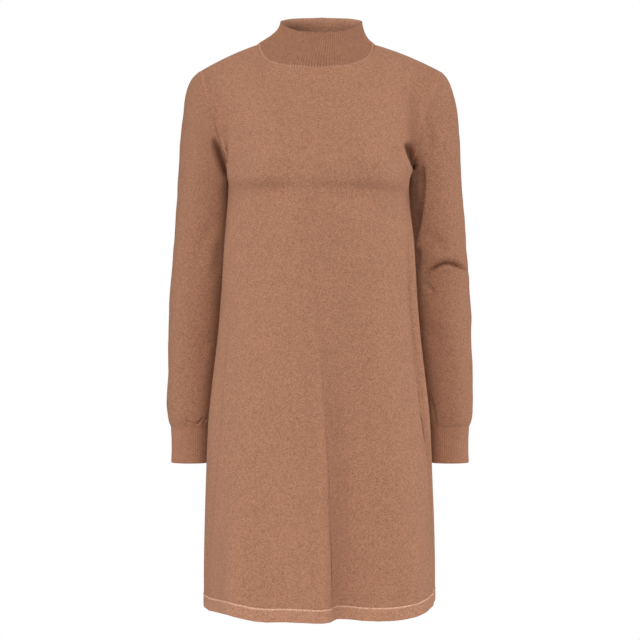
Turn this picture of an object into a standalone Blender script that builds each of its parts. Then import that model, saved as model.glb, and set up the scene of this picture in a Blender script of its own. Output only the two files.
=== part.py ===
"""Sweater dress: a hollow A-line knit dress in the form it has when worn.

Metres, +Z up. The front faces -Y and +X is the viewer's right. The origin lies on the centre
plane between the high shoulder points, where a wearer holds the dress up.
Each panel is an open surface lofted through sections, and Solidify gives it the knit's thickness.
"""

from collections import namedtuple

import bmesh
import bpy
import numpy as np

# Cloth and seams.
KNIT_THICKNESS = 0.002
RIB_THICKNESS = 0.0024
HEM_THICKNESS = 0.003
SEAM_GAP = 0.0003
SIDE_SEAM_EASE = 0.00026
SHOULDER_SEAM_EASE = 0.00030
HEM_SEAM_EASE = 0.00042
ARMHOLE_SEAM_GAP = 0.0008
UNDERARM_SEAM_GAP = 0.0009
COLLAR_SEAM_GAP = 0.0001
SEAM_STRIP = 0.003

# Heights of the main lines, measured from the high shoulder point.
HEM = -0.878
HEM_BAND_TOP = -0.858
UNDERARM = -0.188
CUFF_TOP = -0.596
CUFF_BOTTOM = -0.652

# Lengths of cloth across a panel at the chest, and from the underarm up over the yoke.
PANEL_WIDTH = 0.42
YOKE_LENGTH = 0.20

# Columns across a panel under each shoulder and under the neck, and rows up each piece. The
# collar has the neck's columns and the sleeves have the yoke's rows, so that seams meet.
SHOULDER_COLUMNS = 5
NECK_COLUMNS = 14
SKIRT_ROWS = 16
YOKE_ROWS = 8
HEM_ROWS = 2
COLLAR_ROWS = 4
CUFF_ROWS = 3

# The torso below the underarm: half widths to each side of the centre plane, and how far the
# middle of the front and of the back lie from it. side_y is where the side seams run.
TorsoSection = namedtuple("TorsoSection", "height left right front back side_y")
TORSO = (
    TorsoSection(HEM, 0.1825, 0.1810, -0.140, 0.124, 0.000),
    TorsoSection(-0.800, 0.1820, 0.1805, -0.139, 0.121, -0.003),
    TorsoSection(-0.740, 0.1805, 0.1790, -0.138, 0.118, -0.006),
    TorsoSection(-0.677, 0.1785, 0.1765, -0.136, 0.114, -0.009),
    TorsoSection(-0.615, 0.1760, 0.1740, -0.132, 0.109, -0.011),
    TorsoSection(-0.568, 0.1730, 0.1710, -0.128, 0.103, -0.012),
    TorsoSection(-0.521, 0.1680, 0.1655, -0.124, 0.096, -0.012),
    TorsoSection(-0.458, 0.1605, 0.1580, -0.118, 0.089, -0.012),
    TorsoSection(-0.395, 0.1550, 0.1525, -0.113, 0.085, -0.012),
    TorsoSection(-0.300, 0.1490, 0.1465, -0.109, 0.087, -0.011),
    TorsoSection(-0.238, 0.1445, 0.1420, -0.108, 0.093, -0.007),
    TorsoSection(UNDERARM, 0.1420, 0.1420, -0.110, 0.099, 0.000),
)
FRONT_SQUARENESS = 2.1
BACK_SQUARENESS = 2.1

# Soft folds that run down the skirt. across goes round the torso, 0 to 1 over the front from the
# viewer's left and 1 to 2 over the back, at the fold's start and at the hem. before and after are
# its widths on its two sides. depth is outwards where positive, at the full height and at the hem.
Fold = namedtuple("Fold", "start full across across_hem before after depth depth_hem")
FOLDS = (
    Fold(-0.40, -0.80, 0.270, 0.305, 0.085, 0.080, 0.004, 0.020),
    Fold(-0.30, -0.70, 0.480, 0.515, 0.110, 0.030, 0.006, 0.011),
    Fold(-0.30, -0.72, 0.545, 0.568, 0.026, 0.085, -0.018, -0.030),
    Fold(-0.45, -0.80, 0.725, 0.705, 0.070, 0.085, 0.004, 0.022),
    Fold(-0.22, -0.42, 0.925, 0.960, 0.035, 0.032, -0.014, -0.003),
    Fold(-0.42, -0.80, 1.220, 1.200, 0.090, 0.070, 0.006, 0.010),
    Fold(-0.50, -0.82, 1.370, 1.360, 0.050, 0.080, -0.007, -0.014),
    Fold(-0.36, -0.78, 1.560, 1.590, 0.080, 0.060, 0.006, 0.011),
    Fold(-0.48, -0.80, 1.740, 1.750, 0.060, 0.070, -0.006, -0.012),
)

# The bust, as the front's shaping makes it: two soft forms joined by the cloth between them.
BUST_X = 0.078
BUST_HEIGHT = -0.158
BUST_WIDTH = 0.066
BUST_RISE = 0.085
BUST_FALL = 0.048
BUST_DEPTH = 0.018
BUST_BRIDGE = 0.78

# Neck: the seam on which the collar stands, and the collar's rim, both by the angle from the front.
NECK_X = -0.001
NECK_HALF_WIDTH = 0.0900
NECK_SIDE_Y = 0.002
NECK_FRONT_Y = -0.068
NECK_BACK_Y = 0.066
NeckHeight = namedtuple("NeckHeight", "angle height")
NECK_LINE = (
    NeckHeight(0, -0.0404),
    NeckHeight(36, -0.0340),
    NeckHeight(60, -0.0220),
    NeckHeight(76, -0.0075),
    NeckHeight(90, 0.0060),
    NeckHeight(120, 0.0120),
    NeckHeight(180, 0.0150),
)
RIM_X = 0.002
RIM_HALF_WIDTH = 0.0643
RIM_Y = -0.004
RIM_HALF_DEPTH = 0.056
RIM_HEIGHT = 0.0378
RIM_TILT = 0.0203
RIM_SADDLE = 0.003

# How the collar leaves its seam: it leans in over the shoulders, and comes upright at the rim.
COLLAR_LEAN_SIDE = 0.80
COLLAR_LEAN_FRONT = 0.10
COLLAR_SIDE_FLATNESS = 0.5
COLLAR_SIDE_SPREAD = 1.5
RIM_LEAN = 0.10

# Shoulder seam, from the neck to the sleeve, and how a panel comes up to it.
SHOULDER_SLOPE = 0.40
SHOULDER_DROP = 1.50
SHOULDER_SHARE = 0.22
NECK_CORNER_REACH = 0.10
NECK_CORNER_LEAN = 0.7
ACROSS_SHOULDER = (0.0, 1.0, 0.05)
UP_TO_FRONT_NECK = (0.0, 0.30, 0.95)
UP_TO_BACK_NECK = (0.0, -0.35, 0.93)
YOKE_FULLNESS = 1.20
ARMHOLE_REACH = 0.24
RELAX_PASSES = 6
RELAX_SHARE = 0.5

# Sleeve: each ring goes through an outer point, which starts at the shoulder's tip, and an inner
# point, which starts under the arm. The first ring is the armhole. mid_y and half_depth place it
# front to back.
SleeveRing = namedtuple("SleeveRing", "outer_x outer_z inner_x inner_z mid_y half_depth")
SLEEVE = (
    SleeveRing(0.1865, -0.0361, 0.1420, UNDERARM, 0.000, 0.0540),
    SleeveRing(0.1925, -0.0395, 0.1440, -0.1915, 0.003, 0.0550),
    SleeveRing(0.2012, -0.0475, 0.1442, -0.1960, 0.008, 0.0560),
    SleeveRing(0.2078, -0.0595, 0.1438, -0.2010, 0.013, 0.0570),
    SleeveRing(0.2130, -0.0775, 0.1432, -0.2080, 0.018, 0.0575),
    SleeveRing(0.2168, -0.1020, 0.1424, -0.2170, 0.023, 0.0575),
    SleeveRing(0.2197, -0.1320, 0.1420, -0.2290, 0.028, 0.0570),
    SleeveRing(0.2230, -0.1720, 0.1418, -0.2460, 0.033, 0.0560),
    SleeveRing(0.2260, -0.2180, 0.1420, -0.2680, 0.038, 0.0540),
    SleeveRing(0.2297, -0.2700, 0.1430, -0.3000, 0.043, 0.0510),
    SleeveRing(0.2340, -0.3200, 0.1450, -0.3380, 0.047, 0.0490),
    SleeveRing(0.2380, -0.3700, 0.1490, -0.3800, 0.050, 0.0470),
    SleeveRing(0.2408, -0.4200, 0.1540, -0.4250, 0.050, 0.0445),
    SleeveRing(0.2422, -0.4700, 0.1600, -0.4720, 0.050, 0.0415),
    SleeveRing(0.2428, -0.5200, 0.1660, -0.5200, 0.049, 0.0385),
    SleeveRing(0.2430, -0.5600, 0.1700, -0.5600, 0.048, 0.0355),
    SleeveRing(0.2410, -0.5850, 0.1720, -0.5850, 0.047, 0.0335),
    SleeveRing(0.2375, CUFF_TOP, 0.1745, CUFF_TOP, 0.047, 0.0300),
)
SLEEVE_SQUARENESS = 2.1
CuffRing = namedtuple("CuffRing", "height outer_x inner_x mid_y half_depth")
CUFF = (
    CuffRing(CUFF_TOP, 0.2375, 0.1745, 0.047, 0.0300),
    CuffRing(-0.615, 0.2365, 0.1748, 0.047, 0.0292),
    CuffRing(-0.635, 0.2362, 0.1750, 0.046, 0.0292),
    CuffRing(CUFF_BOTTOM, 0.2368, 0.1748, 0.045, 0.0298),
)

# Colours as sRGB shares, and the knit's roughness.
PLAIN_KNIT = (0.66, 0.48, 0.38)
RIB_KNIT = (0.62, 0.44, 0.345)
HEM_KNIT = (0.69, 0.51, 0.41)
KNIT_ROUGHNESS = 0.9

FRONT, BACK = -1.0, 1.0
LEFT, RIGHT = -1.0, 1.0
DENSE = 241


def spline(knots, values, at):
    """A smooth curve through the values, read at the given places."""
    knots = np.asarray(knots, float)
    values = np.asarray(values, float)
    if knots[0] > knots[-1]:
        knots = knots[::-1]
        values = values[::-1]
    slopes = np.gradient(values, knots)
    at = np.clip(at, knots[0], knots[-1])
    index = np.clip(np.searchsorted(knots, at, side="right") - 1, 0, len(knots) - 2)
    step = knots[index + 1] - knots[index]
    t = (at - knots[index]) / step
    keep = 2 * t**3 - 3 * t**2 + 1
    leave = t**3 - 2 * t**2 + t
    arrive = t**3 - t**2
    return (
        keep * values[index]
        + leave * step * slopes[index]
        + (1 - keep) * values[index + 1]
        + arrive * step * slopes[index + 1]
    )


def column(table, name):
    return [getattr(row, name) for row in table]


def ease(start, end, at):
    """0 before the start, 1 after the end, and smooth between."""
    t = np.clip((at - start) / (end - start), 0.0, 1.0)
    return t * t * (3 - 2 * t)


def signed_power(value, power):
    return np.sign(value) * np.abs(value) ** power


def evenly(points, shares):
    """The points of a line at these shares of its length."""
    steps = np.linalg.norm(np.diff(points, axis=0), axis=1)
    along = np.concatenate(([0.0], np.cumsum(steps)))
    along /= along[-1]
    return np.stack([np.interp(shares, along, points[:, axis]) for axis in range(3)], axis=1)


def unit(vectors):
    return vectors / np.linalg.norm(vectors, axis=-1, keepdims=True)


def plain_section(face, height, shares):
    """One panel's half of the torso at a height, from its own left to its own right."""
    get = {name: spline(column(TORSO, "height"), column(TORSO, name), height)
           for name in ("left", "right", "front", "back", "side_y")}
    turn = np.linspace(0.0, np.pi, DENSE)
    squareness = FRONT_SQUARENESS if face == FRONT else BACK_SQUARENESS
    across = -signed_power(np.cos(turn), 2 / squareness)
    out = np.sin(turn) ** (2 / squareness)
    middle = get["front"] if face == FRONT else get["back"]
    x = np.where(across < 0, across * get["left"], across * get["right"])
    y = get["side_y"] + (middle - get["side_y"]) * out
    points = np.stack([x, y, np.full(DENSE, float(height))], axis=1)
    if face == BACK:
        points = points[::-1]
    return evenly(points, shares)


def outwards(points):
    """Level directions square to a section's line, away from the torso."""
    along = unit(np.gradient(points, axis=0))
    return np.stack([along[:, 1], -along[:, 0], np.zeros(len(points))], axis=1)


def fold_depth(face, shares, height):
    total = np.zeros(len(shares))
    around = shares if face == FRONT else shares + 1
    for fold in FOLDS:
        grown = ease(fold.start, fold.full, height)
        lower = ease(fold.full, HEM, height)
        run = np.clip((height - fold.start) / (HEM - fold.start), 0.0, 1.0)
        place = fold.across + (fold.across_hem - fold.across) * run
        offset = (around - place + 1) % 2 - 1
        width = np.where(offset < 0, fold.before, fold.after)
        depth = fold.depth + (fold.depth_hem - fold.depth) * lower
        total += grown * depth * np.exp(-((offset / width) ** 2))
    return total


def bust_depth(points):
    """How far the bust moves the front's points forward."""
    x = points[:, 0]
    lift = points[:, 2] - BUST_HEIGHT
    tall = np.where(lift > 0, BUST_RISE, BUST_FALL)
    sides = np.exp(-(((np.abs(x) - BUST_X) / BUST_WIDTH) ** 2))
    bridge = BUST_BRIDGE * np.exp(-((x / BUST_X) ** 2))
    return BUST_DEPTH * np.maximum(sides, bridge) * np.exp(-((lift / tall) ** 2))


def shaped(face, points):
    if face == FRONT:
        points = points.copy()
        points[:, 1] -= bust_depth(points)
    return points


def skirt_row(face, height, shares):
    """One row of a panel below the underarm, folds and bust included."""
    plain = plain_section(face, height, shares)
    moved = plain + outwards(plain) * fold_depth(face, shares, height)[:, None]
    return shaped(face, moved)


def neck_point(angle):
    """Points of the neck seam. The angle runs from the middle front to the viewer's right."""
    middle_y = np.where(np.cos(angle) > 0, NECK_FRONT_Y, NECK_BACK_Y)
    from_front = np.degrees(np.abs((angle + np.pi) % (2 * np.pi) - np.pi))
    x = NECK_X + NECK_HALF_WIDTH * np.sin(angle)
    y = NECK_SIDE_Y + (middle_y - NECK_SIDE_Y) * np.abs(np.cos(angle))
    z = spline(column(NECK_LINE, "angle"), column(NECK_LINE, "height"), from_front)
    return np.stack([x, y, z], axis=-1)


def rim_point(angle):
    x = RIM_X + RIM_HALF_WIDTH * np.sin(angle)
    y = RIM_Y - RIM_HALF_DEPTH * np.cos(angle)
    z = RIM_HEIGHT - RIM_TILT * np.cos(angle) - RIM_SADDLE * np.cos(2 * angle)
    return np.stack([x, y, z], axis=-1)


def sleeve_ring(hand, ring, turns):
    """Points of a sleeve's ring. The turn runs from the outer point over the front."""
    outer = np.array([hand * ring.outer_x, ring.mid_y, ring.outer_z])
    inner = np.array([hand * ring.inner_x, ring.mid_y, ring.inner_z])
    along = signed_power(np.cos(turns), 2 / SLEEVE_SQUARENESS)[:, None]
    forward = signed_power(np.sin(turns), 2 / SLEEVE_SQUARENESS)[:, None]
    middle = (outer + inner) / 2
    return middle + along * (outer - inner) / 2 - forward * np.array([0.0, ring.half_depth, 0.0])


def shoulder_line(hand, shares):
    """The shoulder seam from the sleeve to the neck."""
    neck = neck_point(np.array(hand * np.pi / 2))
    tip = np.array([hand * SLEEVE[0].outer_x, SLEEVE[0].mid_y, SLEEVE[0].outer_z])
    points = tip + (neck - tip) * shares[:, None]
    reach = np.abs(points[:, 0] - neck[0])
    full = abs(tip[0] - neck[0])
    straight = (neck[2] - tip[2]) * reach / full
    curved = SHOULDER_SLOPE * reach + SHOULDER_DROP * reach**2
    curved *= (neck[2] - tip[2]) / (SHOULDER_SLOPE * full + SHOULDER_DROP * full**2)
    points[:, 2] += straight - curved
    return points


def top_line(face, shares):
    """A panel's upper edge, shoulder, neck and shoulder, with the direction it is reached in."""
    first = -1.0 if face == FRONT else 1.0
    share = SHOULDER_SHARE
    on_neck = np.clip((shares - share) / (1 - 2 * share), 0.0, 1.0)
    if face == FRONT:
        angle = (on_neck - 0.5) * np.pi
    else:
        angle = np.pi * (0.5 + on_neck)
    points = neck_point(angle)
    before = shares < share
    after = shares > 1 - share
    points[before] = shoulder_line(first, shares[before] / share)
    points[after] = shoulder_line(-first, (1 - shares[after]) / share)
    over = np.array(ACROSS_SHOULDER) * -face
    up = np.array(UP_TO_FRONT_NECK if face == FRONT else UP_TO_BACK_NECK)
    blend = np.sin(np.pi * on_neck)[:, None]
    to_corner = (np.minimum(shares, 1 - shares) - share) / NECK_CORNER_REACH
    lean = NECK_CORNER_LEAN * np.exp(-(to_corner**2))[:, None]
    inwards = -np.sign(points[:, :1]) * np.array([1.0, 0.0, 0.0]) + np.array([0.0, 0.0, SHOULDER_SLOPE])
    return points, unit(over * (1 - blend) + up * blend + inwards * lean)


def yoke_rows(face, shares, rises):
    """A panel's rows from the underarm to the shoulder and neck."""
    below = plain_section(face, UNDERARM, shares)
    step = 0.01
    climb = (below - plain_section(face, UNDERARM - step, shares)) / step
    top, reach = top_line(face, shares)
    length = YOKE_FULLNESS * np.linalg.norm(top - below, axis=1, keepdims=True)
    near_first = np.clip(1 - shares / ARMHOLE_REACH, 0.0, 1.0)[:, None] ** 2
    near_last = near_first[::-1]
    hands = (LEFT, RIGHT) if face == FRONT else (RIGHT, LEFT)
    rows = []
    for rise in rises:
        keep = 2 * rise**3 - 3 * rise**2 + 1
        leave = rise**3 - 2 * rise**2 + rise
        arrive = rise**3 - rise**2
        row = keep * below + leave * length * climb + (1 - keep) * top + arrive * length * reach
        turn = np.array([np.pi * (1 - rise) * -face])
        ends = [sleeve_ring(hand, SLEEVE[0], turn)[0] for hand in hands]
        row = row + near_first * (ends[0] - row[0]) + near_last * (ends[1] - row[-1])
        rows.append(shaped(face, row))
    return rows


def relaxed(rows, fixed_below, passes):
    """The rows evened out above those that stay fixed. The narrow strips along the seams stay too."""
    rows = np.array(rows)
    for _ in range(passes):
        inner = rows[2:-2, 2:-2]
        around = (rows[1:-3, 2:-2] + rows[3:-1, 2:-2] + rows[2:-2, 1:-3] + rows[2:-2, 3:-1]) / 4
        moved = inner + RELAX_SHARE * (around - inner)
        moved[: fixed_below - 2] = inner[: fixed_below - 2]
        rows[2:-2, 2:-2] = moved
    return rows


def panel_shares():
    """Shares across a panel, with a narrow strip along each side seam and a column at each neck point."""
    edge = SIDE_SEAM_EASE / PANEL_WIDTH
    shoulder = np.linspace(SEAM_STRIP / PANEL_WIDTH, SHOULDER_SHARE, SHOULDER_COLUMNS + 1)
    neck = np.linspace(SHOULDER_SHARE, 1 - SHOULDER_SHARE, NECK_COLUMNS + 1)
    return np.concatenate(([edge], shoulder, neck[1:-1], 1 - shoulder[::-1], [1 - edge]))


def yoke_rises():
    """How far up the yoke its rows are, with a narrow strip along the shoulder seam."""
    strip = 1 - SEAM_STRIP / YOKE_LENGTH
    return np.append(np.linspace(0.0, strip, YOKE_ROWS), 1.0)


def sleeve_turns(hand):
    """Angles of a sleeve's columns, which meet the yoke's rows at the armhole."""
    over_front = np.pi * (1 - yoke_rises())
    turns = np.concatenate((over_front[::-1], 2 * np.pi - over_front[1:-1], [2 * np.pi]))
    turns = np.unique(np.round(turns, 9))
    return turns if hand == LEFT else -turns


def grid_object(name, rows, closed, thickness, colour, collection):
    """An outward-facing surface through the rows, from the lowest up, with the cloth's thickness."""
    rows = np.array(rows)
    up, across = rows.shape[:2]
    build = bmesh.new()
    bmesh.ops.create_grid(build, x_segments=across - 1, y_segments=up - 1, size=1.0)
    for vertex, place in zip(build.verts, rows.reshape(-1, 3)):
        vertex.co = place
    if closed:
        bmesh.ops.remove_doubles(build, verts=build.verts, dist=1e-6)
    mesh = bpy.data.meshes.new(name)
    build.to_mesh(mesh)
    build.free()
    mesh.shade_smooth()
    mesh.materials.append(knit_material(name, colour))
    thing = bpy.data.objects.new(name, mesh)
    wall = thing.modifiers.new("Knit thickness", "SOLIDIFY")
    wall.thickness = thickness
    wall.offset = -1.0
    wall.use_even_offset = True
    collection.objects.link(thing)
    return thing


def knit_material(name, colour):
    material = bpy.data.materials.new(name)
    material.use_nodes = True
    surface = material.node_tree.nodes["Principled BSDF"]
    linear = [((share + 0.055) / 1.055) ** 2.4 for share in colour]
    surface.inputs["Base Color"].default_value = (*linear, 1.0)
    surface.inputs["Roughness"].default_value = KNIT_ROUGHNESS
    surface.inputs["Metallic"].default_value = 0.0
    return material


def body_panel(name, face, collection):
    shares = panel_shares()
    bottom = HEM_BAND_TOP + HEM_SEAM_EASE
    rows = [skirt_row(face, height, shares) for height in np.linspace(bottom, UNDERARM, SKIRT_ROWS + 1)]
    rises = yoke_rises()[1:]
    rises[-1] -= SHOULDER_SEAM_EASE / YOKE_LENGTH
    rows += yoke_rows(face, shares, rises)
    rows = relaxed(rows, SKIRT_ROWS + 1, RELAX_PASSES)
    return grid_object(name, rows, False, KNIT_THICKNESS, PLAIN_KNIT, collection)


def hem_band(name, face, collection):
    shares = panel_shares()
    heights = np.linspace(HEM, HEM_BAND_TOP, HEM_ROWS + 1)
    rows = [skirt_row(face, height, shares) for height in heights]
    return grid_object(name, rows, False, HEM_THICKNESS, HEM_KNIT, collection)


def sleeve(name, hand, collection):
    turns = sleeve_turns(hand)
    rows = [sleeve_ring(hand, ring, turns) for ring in SLEEVE]
    leave = unit(rows[1] - rows[0])
    lower = (1 - np.cos(turns)[:, None]) / 2
    gap = ARMHOLE_SEAM_GAP + (UNDERARM_SEAM_GAP - ARMHOLE_SEAM_GAP) * lower
    rows[0] = rows[0] + leave * gap
    rows[-1][:, 2] += SEAM_GAP
    return grid_object(name, rows[::-1], True, KNIT_THICKNESS, PLAIN_KNIT, collection)


def cuff(name, hand, collection):
    turns = sleeve_turns(hand)
    rows = []
    for height in np.linspace(CUFF_BOTTOM, CUFF_TOP, CUFF_ROWS + 1):
        at = {key: spline(column(CUFF, "height"), column(CUFF, key), height)
              for key in ("outer_x", "inner_x", "mid_y", "half_depth")}
        ring = SleeveRing(at["outer_x"], height, at["inner_x"], height, at["mid_y"], at["half_depth"])
        rows.append(sleeve_ring(hand, ring, turns))
    return grid_object(name, rows, True, RIB_THICKNESS, RIB_KNIT, collection)


def collar(name, collection):
    angles = np.linspace(-np.pi / 2, 3 * np.pi / 2, 2 * NECK_COLUMNS + 1)
    base = neck_point(angles)
    rim = rim_point(angles)
    length = np.linalg.norm(rim - base, axis=1, keepdims=True)
    side = np.abs(np.sin(angles)) ** COLLAR_SIDE_SPREAD
    lean_in = -COLLAR_LEAN_SIDE * side * np.sin(angles)
    lean_out = -COLLAR_LEAN_FRONT * np.cos(angles)
    leave = unit(np.stack([lean_in, lean_out, 1.0 - COLLAR_SIDE_FLATNESS * side], axis=1))
    upright = np.ones(len(angles))
    arrive = unit(np.stack([-RIM_LEAN * np.sin(angles), 0.0 * upright, upright], axis=1))
    rows = []
    for rise in np.linspace(0.0, 1.0, COLLAR_ROWS + 1):
        keep = 2 * rise**3 - 3 * rise**2 + 1
        start = (rise**3 - 2 * rise**2 + rise) * length * leave
        end = (rise**3 - rise**2) * length * arrive
        rows.append(keep * base + (1 - keep) * rim + start + end)
    rows[0] = rows[0] + COLLAR_SEAM_GAP * leave
    return grid_object(name, rows, True, RIB_THICKNESS, RIB_KNIT, collection)


def clear_scene():
    for thing in list(bpy.data.objects):
        bpy.data.objects.remove(thing, do_unlink=True)


def main():
    clear_scene()
    dress = bpy.data.collections.new("Sweater dress")
    bpy.context.scene.collection.children.link(dress)
    body_panel("front", FRONT, dress)
    body_panel("back", BACK, dress)
    hem_band("hem_front", FRONT, dress)
    hem_band("hem_back", BACK, dress)
    sleeve("sleeve_left", LEFT, dress)
    sleeve("sleeve_right", RIGHT, dress)
    cuff("cuff_left", LEFT, dress)
    cuff("cuff_right", RIGHT, dress)
    collar("collar", dress)


main()
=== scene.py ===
"""Sweater dress, the looks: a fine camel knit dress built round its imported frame.

Laid out as an add-on and run as a script. Metres, +Z up; the front faces -Y and +X is the viewer's
right. Every piece keeps the place and form of its CAD node, and gets its knit, seams and creases.
"""

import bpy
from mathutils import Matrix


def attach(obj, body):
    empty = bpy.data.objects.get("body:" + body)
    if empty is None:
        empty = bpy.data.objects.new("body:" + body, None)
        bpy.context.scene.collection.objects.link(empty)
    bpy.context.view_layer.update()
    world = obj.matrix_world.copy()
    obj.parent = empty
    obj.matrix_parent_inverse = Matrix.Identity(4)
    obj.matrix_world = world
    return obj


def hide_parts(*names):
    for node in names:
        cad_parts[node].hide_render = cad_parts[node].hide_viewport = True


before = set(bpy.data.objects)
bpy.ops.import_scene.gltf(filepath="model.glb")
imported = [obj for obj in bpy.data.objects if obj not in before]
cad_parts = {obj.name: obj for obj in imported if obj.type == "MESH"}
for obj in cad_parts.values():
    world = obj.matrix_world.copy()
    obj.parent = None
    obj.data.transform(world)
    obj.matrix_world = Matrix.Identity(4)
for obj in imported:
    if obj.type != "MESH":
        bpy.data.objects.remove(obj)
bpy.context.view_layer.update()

from collections import namedtuple

import bpy
import numpy as np
from bpy.props import FloatProperty, FloatVectorProperty, IntProperty, PointerProperty
from bpy.types import NodeSocket, Operator, Panel, PropertyGroup
from mathutils import Vector, noise

bl_info = {
    "name": "Sweater dress",
    "version": (1, 0, 0),
    "blender": (4, 5, 0),
    "location": "View3D > Sidebar > Dress",
    "description": "Builds a hollow A-line sweater dress in fine knit, panel by panel, on its frame",
    "category": "Object",
}

FRONT, BACK = -1.0, 1.0
LEFT, RIGHT = -1.0, 1.0
UP, ACROSS = 0, 1


def table(kind, *rows):
    """Rows that have the named columns of their kind."""
    return tuple(kind(*row) for row in rows)


# ---------------------------------------------------------------- the cut, as the frame has it

HEM = -0.878
HEM_BAND_TOP = -0.858
UNDERARM = -0.188
CUFF_TOP = -0.596
CUFF_BOTTOM = -0.652
PANEL_WIDTH = 0.42
YOKE_LENGTH = 0.20

TORSO = table(
    namedtuple("TorsoSection", "height left right front back side_y"),
    (HEM, 0.1825, 0.1810, -0.140, 0.124, 0.000),
    (-0.800, 0.1820, 0.1805, -0.139, 0.121, -0.003),
    (-0.740, 0.1805, 0.1790, -0.138, 0.118, -0.006),
    (-0.677, 0.1785, 0.1765, -0.136, 0.114, -0.009),
    (-0.615, 0.1760, 0.1740, -0.132, 0.109, -0.011),
    (-0.568, 0.1730, 0.1710, -0.128, 0.103, -0.012),
    (-0.521, 0.1680, 0.1655, -0.124, 0.096, -0.012),
    (-0.458, 0.1605, 0.1580, -0.118, 0.089, -0.012),
    (-0.395, 0.1550, 0.1525, -0.113, 0.085, -0.012),
    (-0.300, 0.1490, 0.1465, -0.109, 0.087, -0.011),
    (-0.238, 0.1442, 0.1400, -0.108, 0.093, -0.007),
    (-0.212, 0.1428, 0.1392, -0.1085, 0.096, -0.004),
    (UNDERARM, 0.1420, 0.1420, -0.110, 0.099, 0.000),
)
SQUARENESS = 2.1

# Folds down the skirt: across goes round the torso, 0 to 1 over the front from the viewer's left
# and 1 to 2 over the back. before and after are the widths of a fold's two sides.
FOLDS = table(
    namedtuple("Fold", "start full across across_hem before after depth depth_hem"),
    (-0.40, -0.60, 0.245, 0.265, 0.075, 0.080, 0.003, 0.024),
    (-0.25, -0.52, 0.480, 0.515, 0.110, 0.030, 0.006, 0.012),
    (-0.27, -0.60, 0.585, 0.615, 0.078, 0.082, -0.018, -0.026),
    (-0.45, -0.60, 0.760, 0.770, 0.070, 0.085, 0.003, 0.024),
    (-0.22, -0.42, 0.925, 0.960, 0.035, 0.032, -0.014, -0.003),
    (-0.42, -0.80, 1.220, 1.200, 0.090, 0.070, 0.006, 0.010),
    (-0.50, -0.82, 1.370, 1.360, 0.050, 0.080, -0.007, -0.014),
    (-0.36, -0.78, 1.560, 1.590, 0.080, 0.060, 0.006, 0.011),
    (-0.48, -0.80, 1.740, 1.750, 0.060, 0.070, -0.006, -0.012),
)

# How much higher the hem hangs than straight, round the torso as for the folds.
HEM_LIFTS = table(
    namedtuple("HemLift", "around lift"),
    (0.00, 0.0027), (0.08, 0.0028), (0.16, 0.0048), (0.20, 0.0063), (0.24, 0.0074),
    (0.28, 0.0042), (0.32, -0.0002), (0.35, -0.0016), (0.40, -0.0006), (0.46, -0.0009),
    (0.50, -0.0018), (0.54, -0.0011), (0.555, 0.0006), (0.58, -0.0008), (0.64, -0.0042),
    (0.68, -0.0036), (0.72, -0.0013), (0.76, 0.0028), (0.80, 0.0062), (0.84, 0.0068),
    (0.88, 0.0081), (0.94, 0.0100), (1.00, 0.0115), (1.06, 0.0100), (1.20, 0.0040),
    (1.50, 0.0010), (1.85, 0.0020), (2.00, 0.0027),
)
HEM_LIFT_REACH = 0.20

BUST_X = 0.090
BRIDGE_WIDTH = 0.082
BUST_HEIGHT = -0.204
BUST_WIDTH = 0.060
BUST_RISE = 0.112
BUST_FALL = 0.045
BRIDGE_FALL = 0.085
BUST_DEPTH = 0.028
BUST_BRIDGE = 0.78

NECK_X = -0.006
NECK_HALF_WIDTH = 0.0900
NECK_SIDE_Y = 0.002
NECK_FRONT_Y = -0.068
NECK_BACK_Y = 0.066
NeckHeight = namedtuple("NeckHeight", "angle height")
NECK_LINE = table(
    NeckHeight,
    (0, -0.0404), (36, -0.0340), (60, -0.0220), (76, -0.0075),
    (90, 0.0060), (120, 0.0120), (180, 0.0150),
)
RIM_X = 0.002
RIM_HALF_WIDTH = 0.0643
RIM_Y = -0.004
RIM_HALF_DEPTH = 0.056
RIM_LINE = table(
    NeckHeight,
    (0, 0.0145), (36, 0.0195), (62, 0.0290), (90, 0.0400),
    (112, 0.0458), (135, 0.0508), (180, 0.0551),
)
COLLAR_LEAN_SIDE = 0.80
COLLAR_LEAN_FRONT = 0.10
COLLAR_SIDE_FLATNESS = 0.5
COLLAR_SIDE_SPREAD = 1.5
RIM_LEAN = 0.10

SHOULDER_SLOPE = 0.40
SHOULDER_DROP = 1.50
SHOULDER_SHARE = 0.22
NECK_CORNER_REACH = 0.10
NECK_CORNER_LEAN = 0.7
ACROSS_SHOULDER = (0.0, 1.0, 0.05)
UP_TO_FRONT_NECK = (0.0, 0.30, 0.95)
UP_TO_BACK_NECK = (0.0, -0.35, 0.93)
YOKE_FULLNESS = 1.20
ARMHOLE_REACH = 0.24

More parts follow.
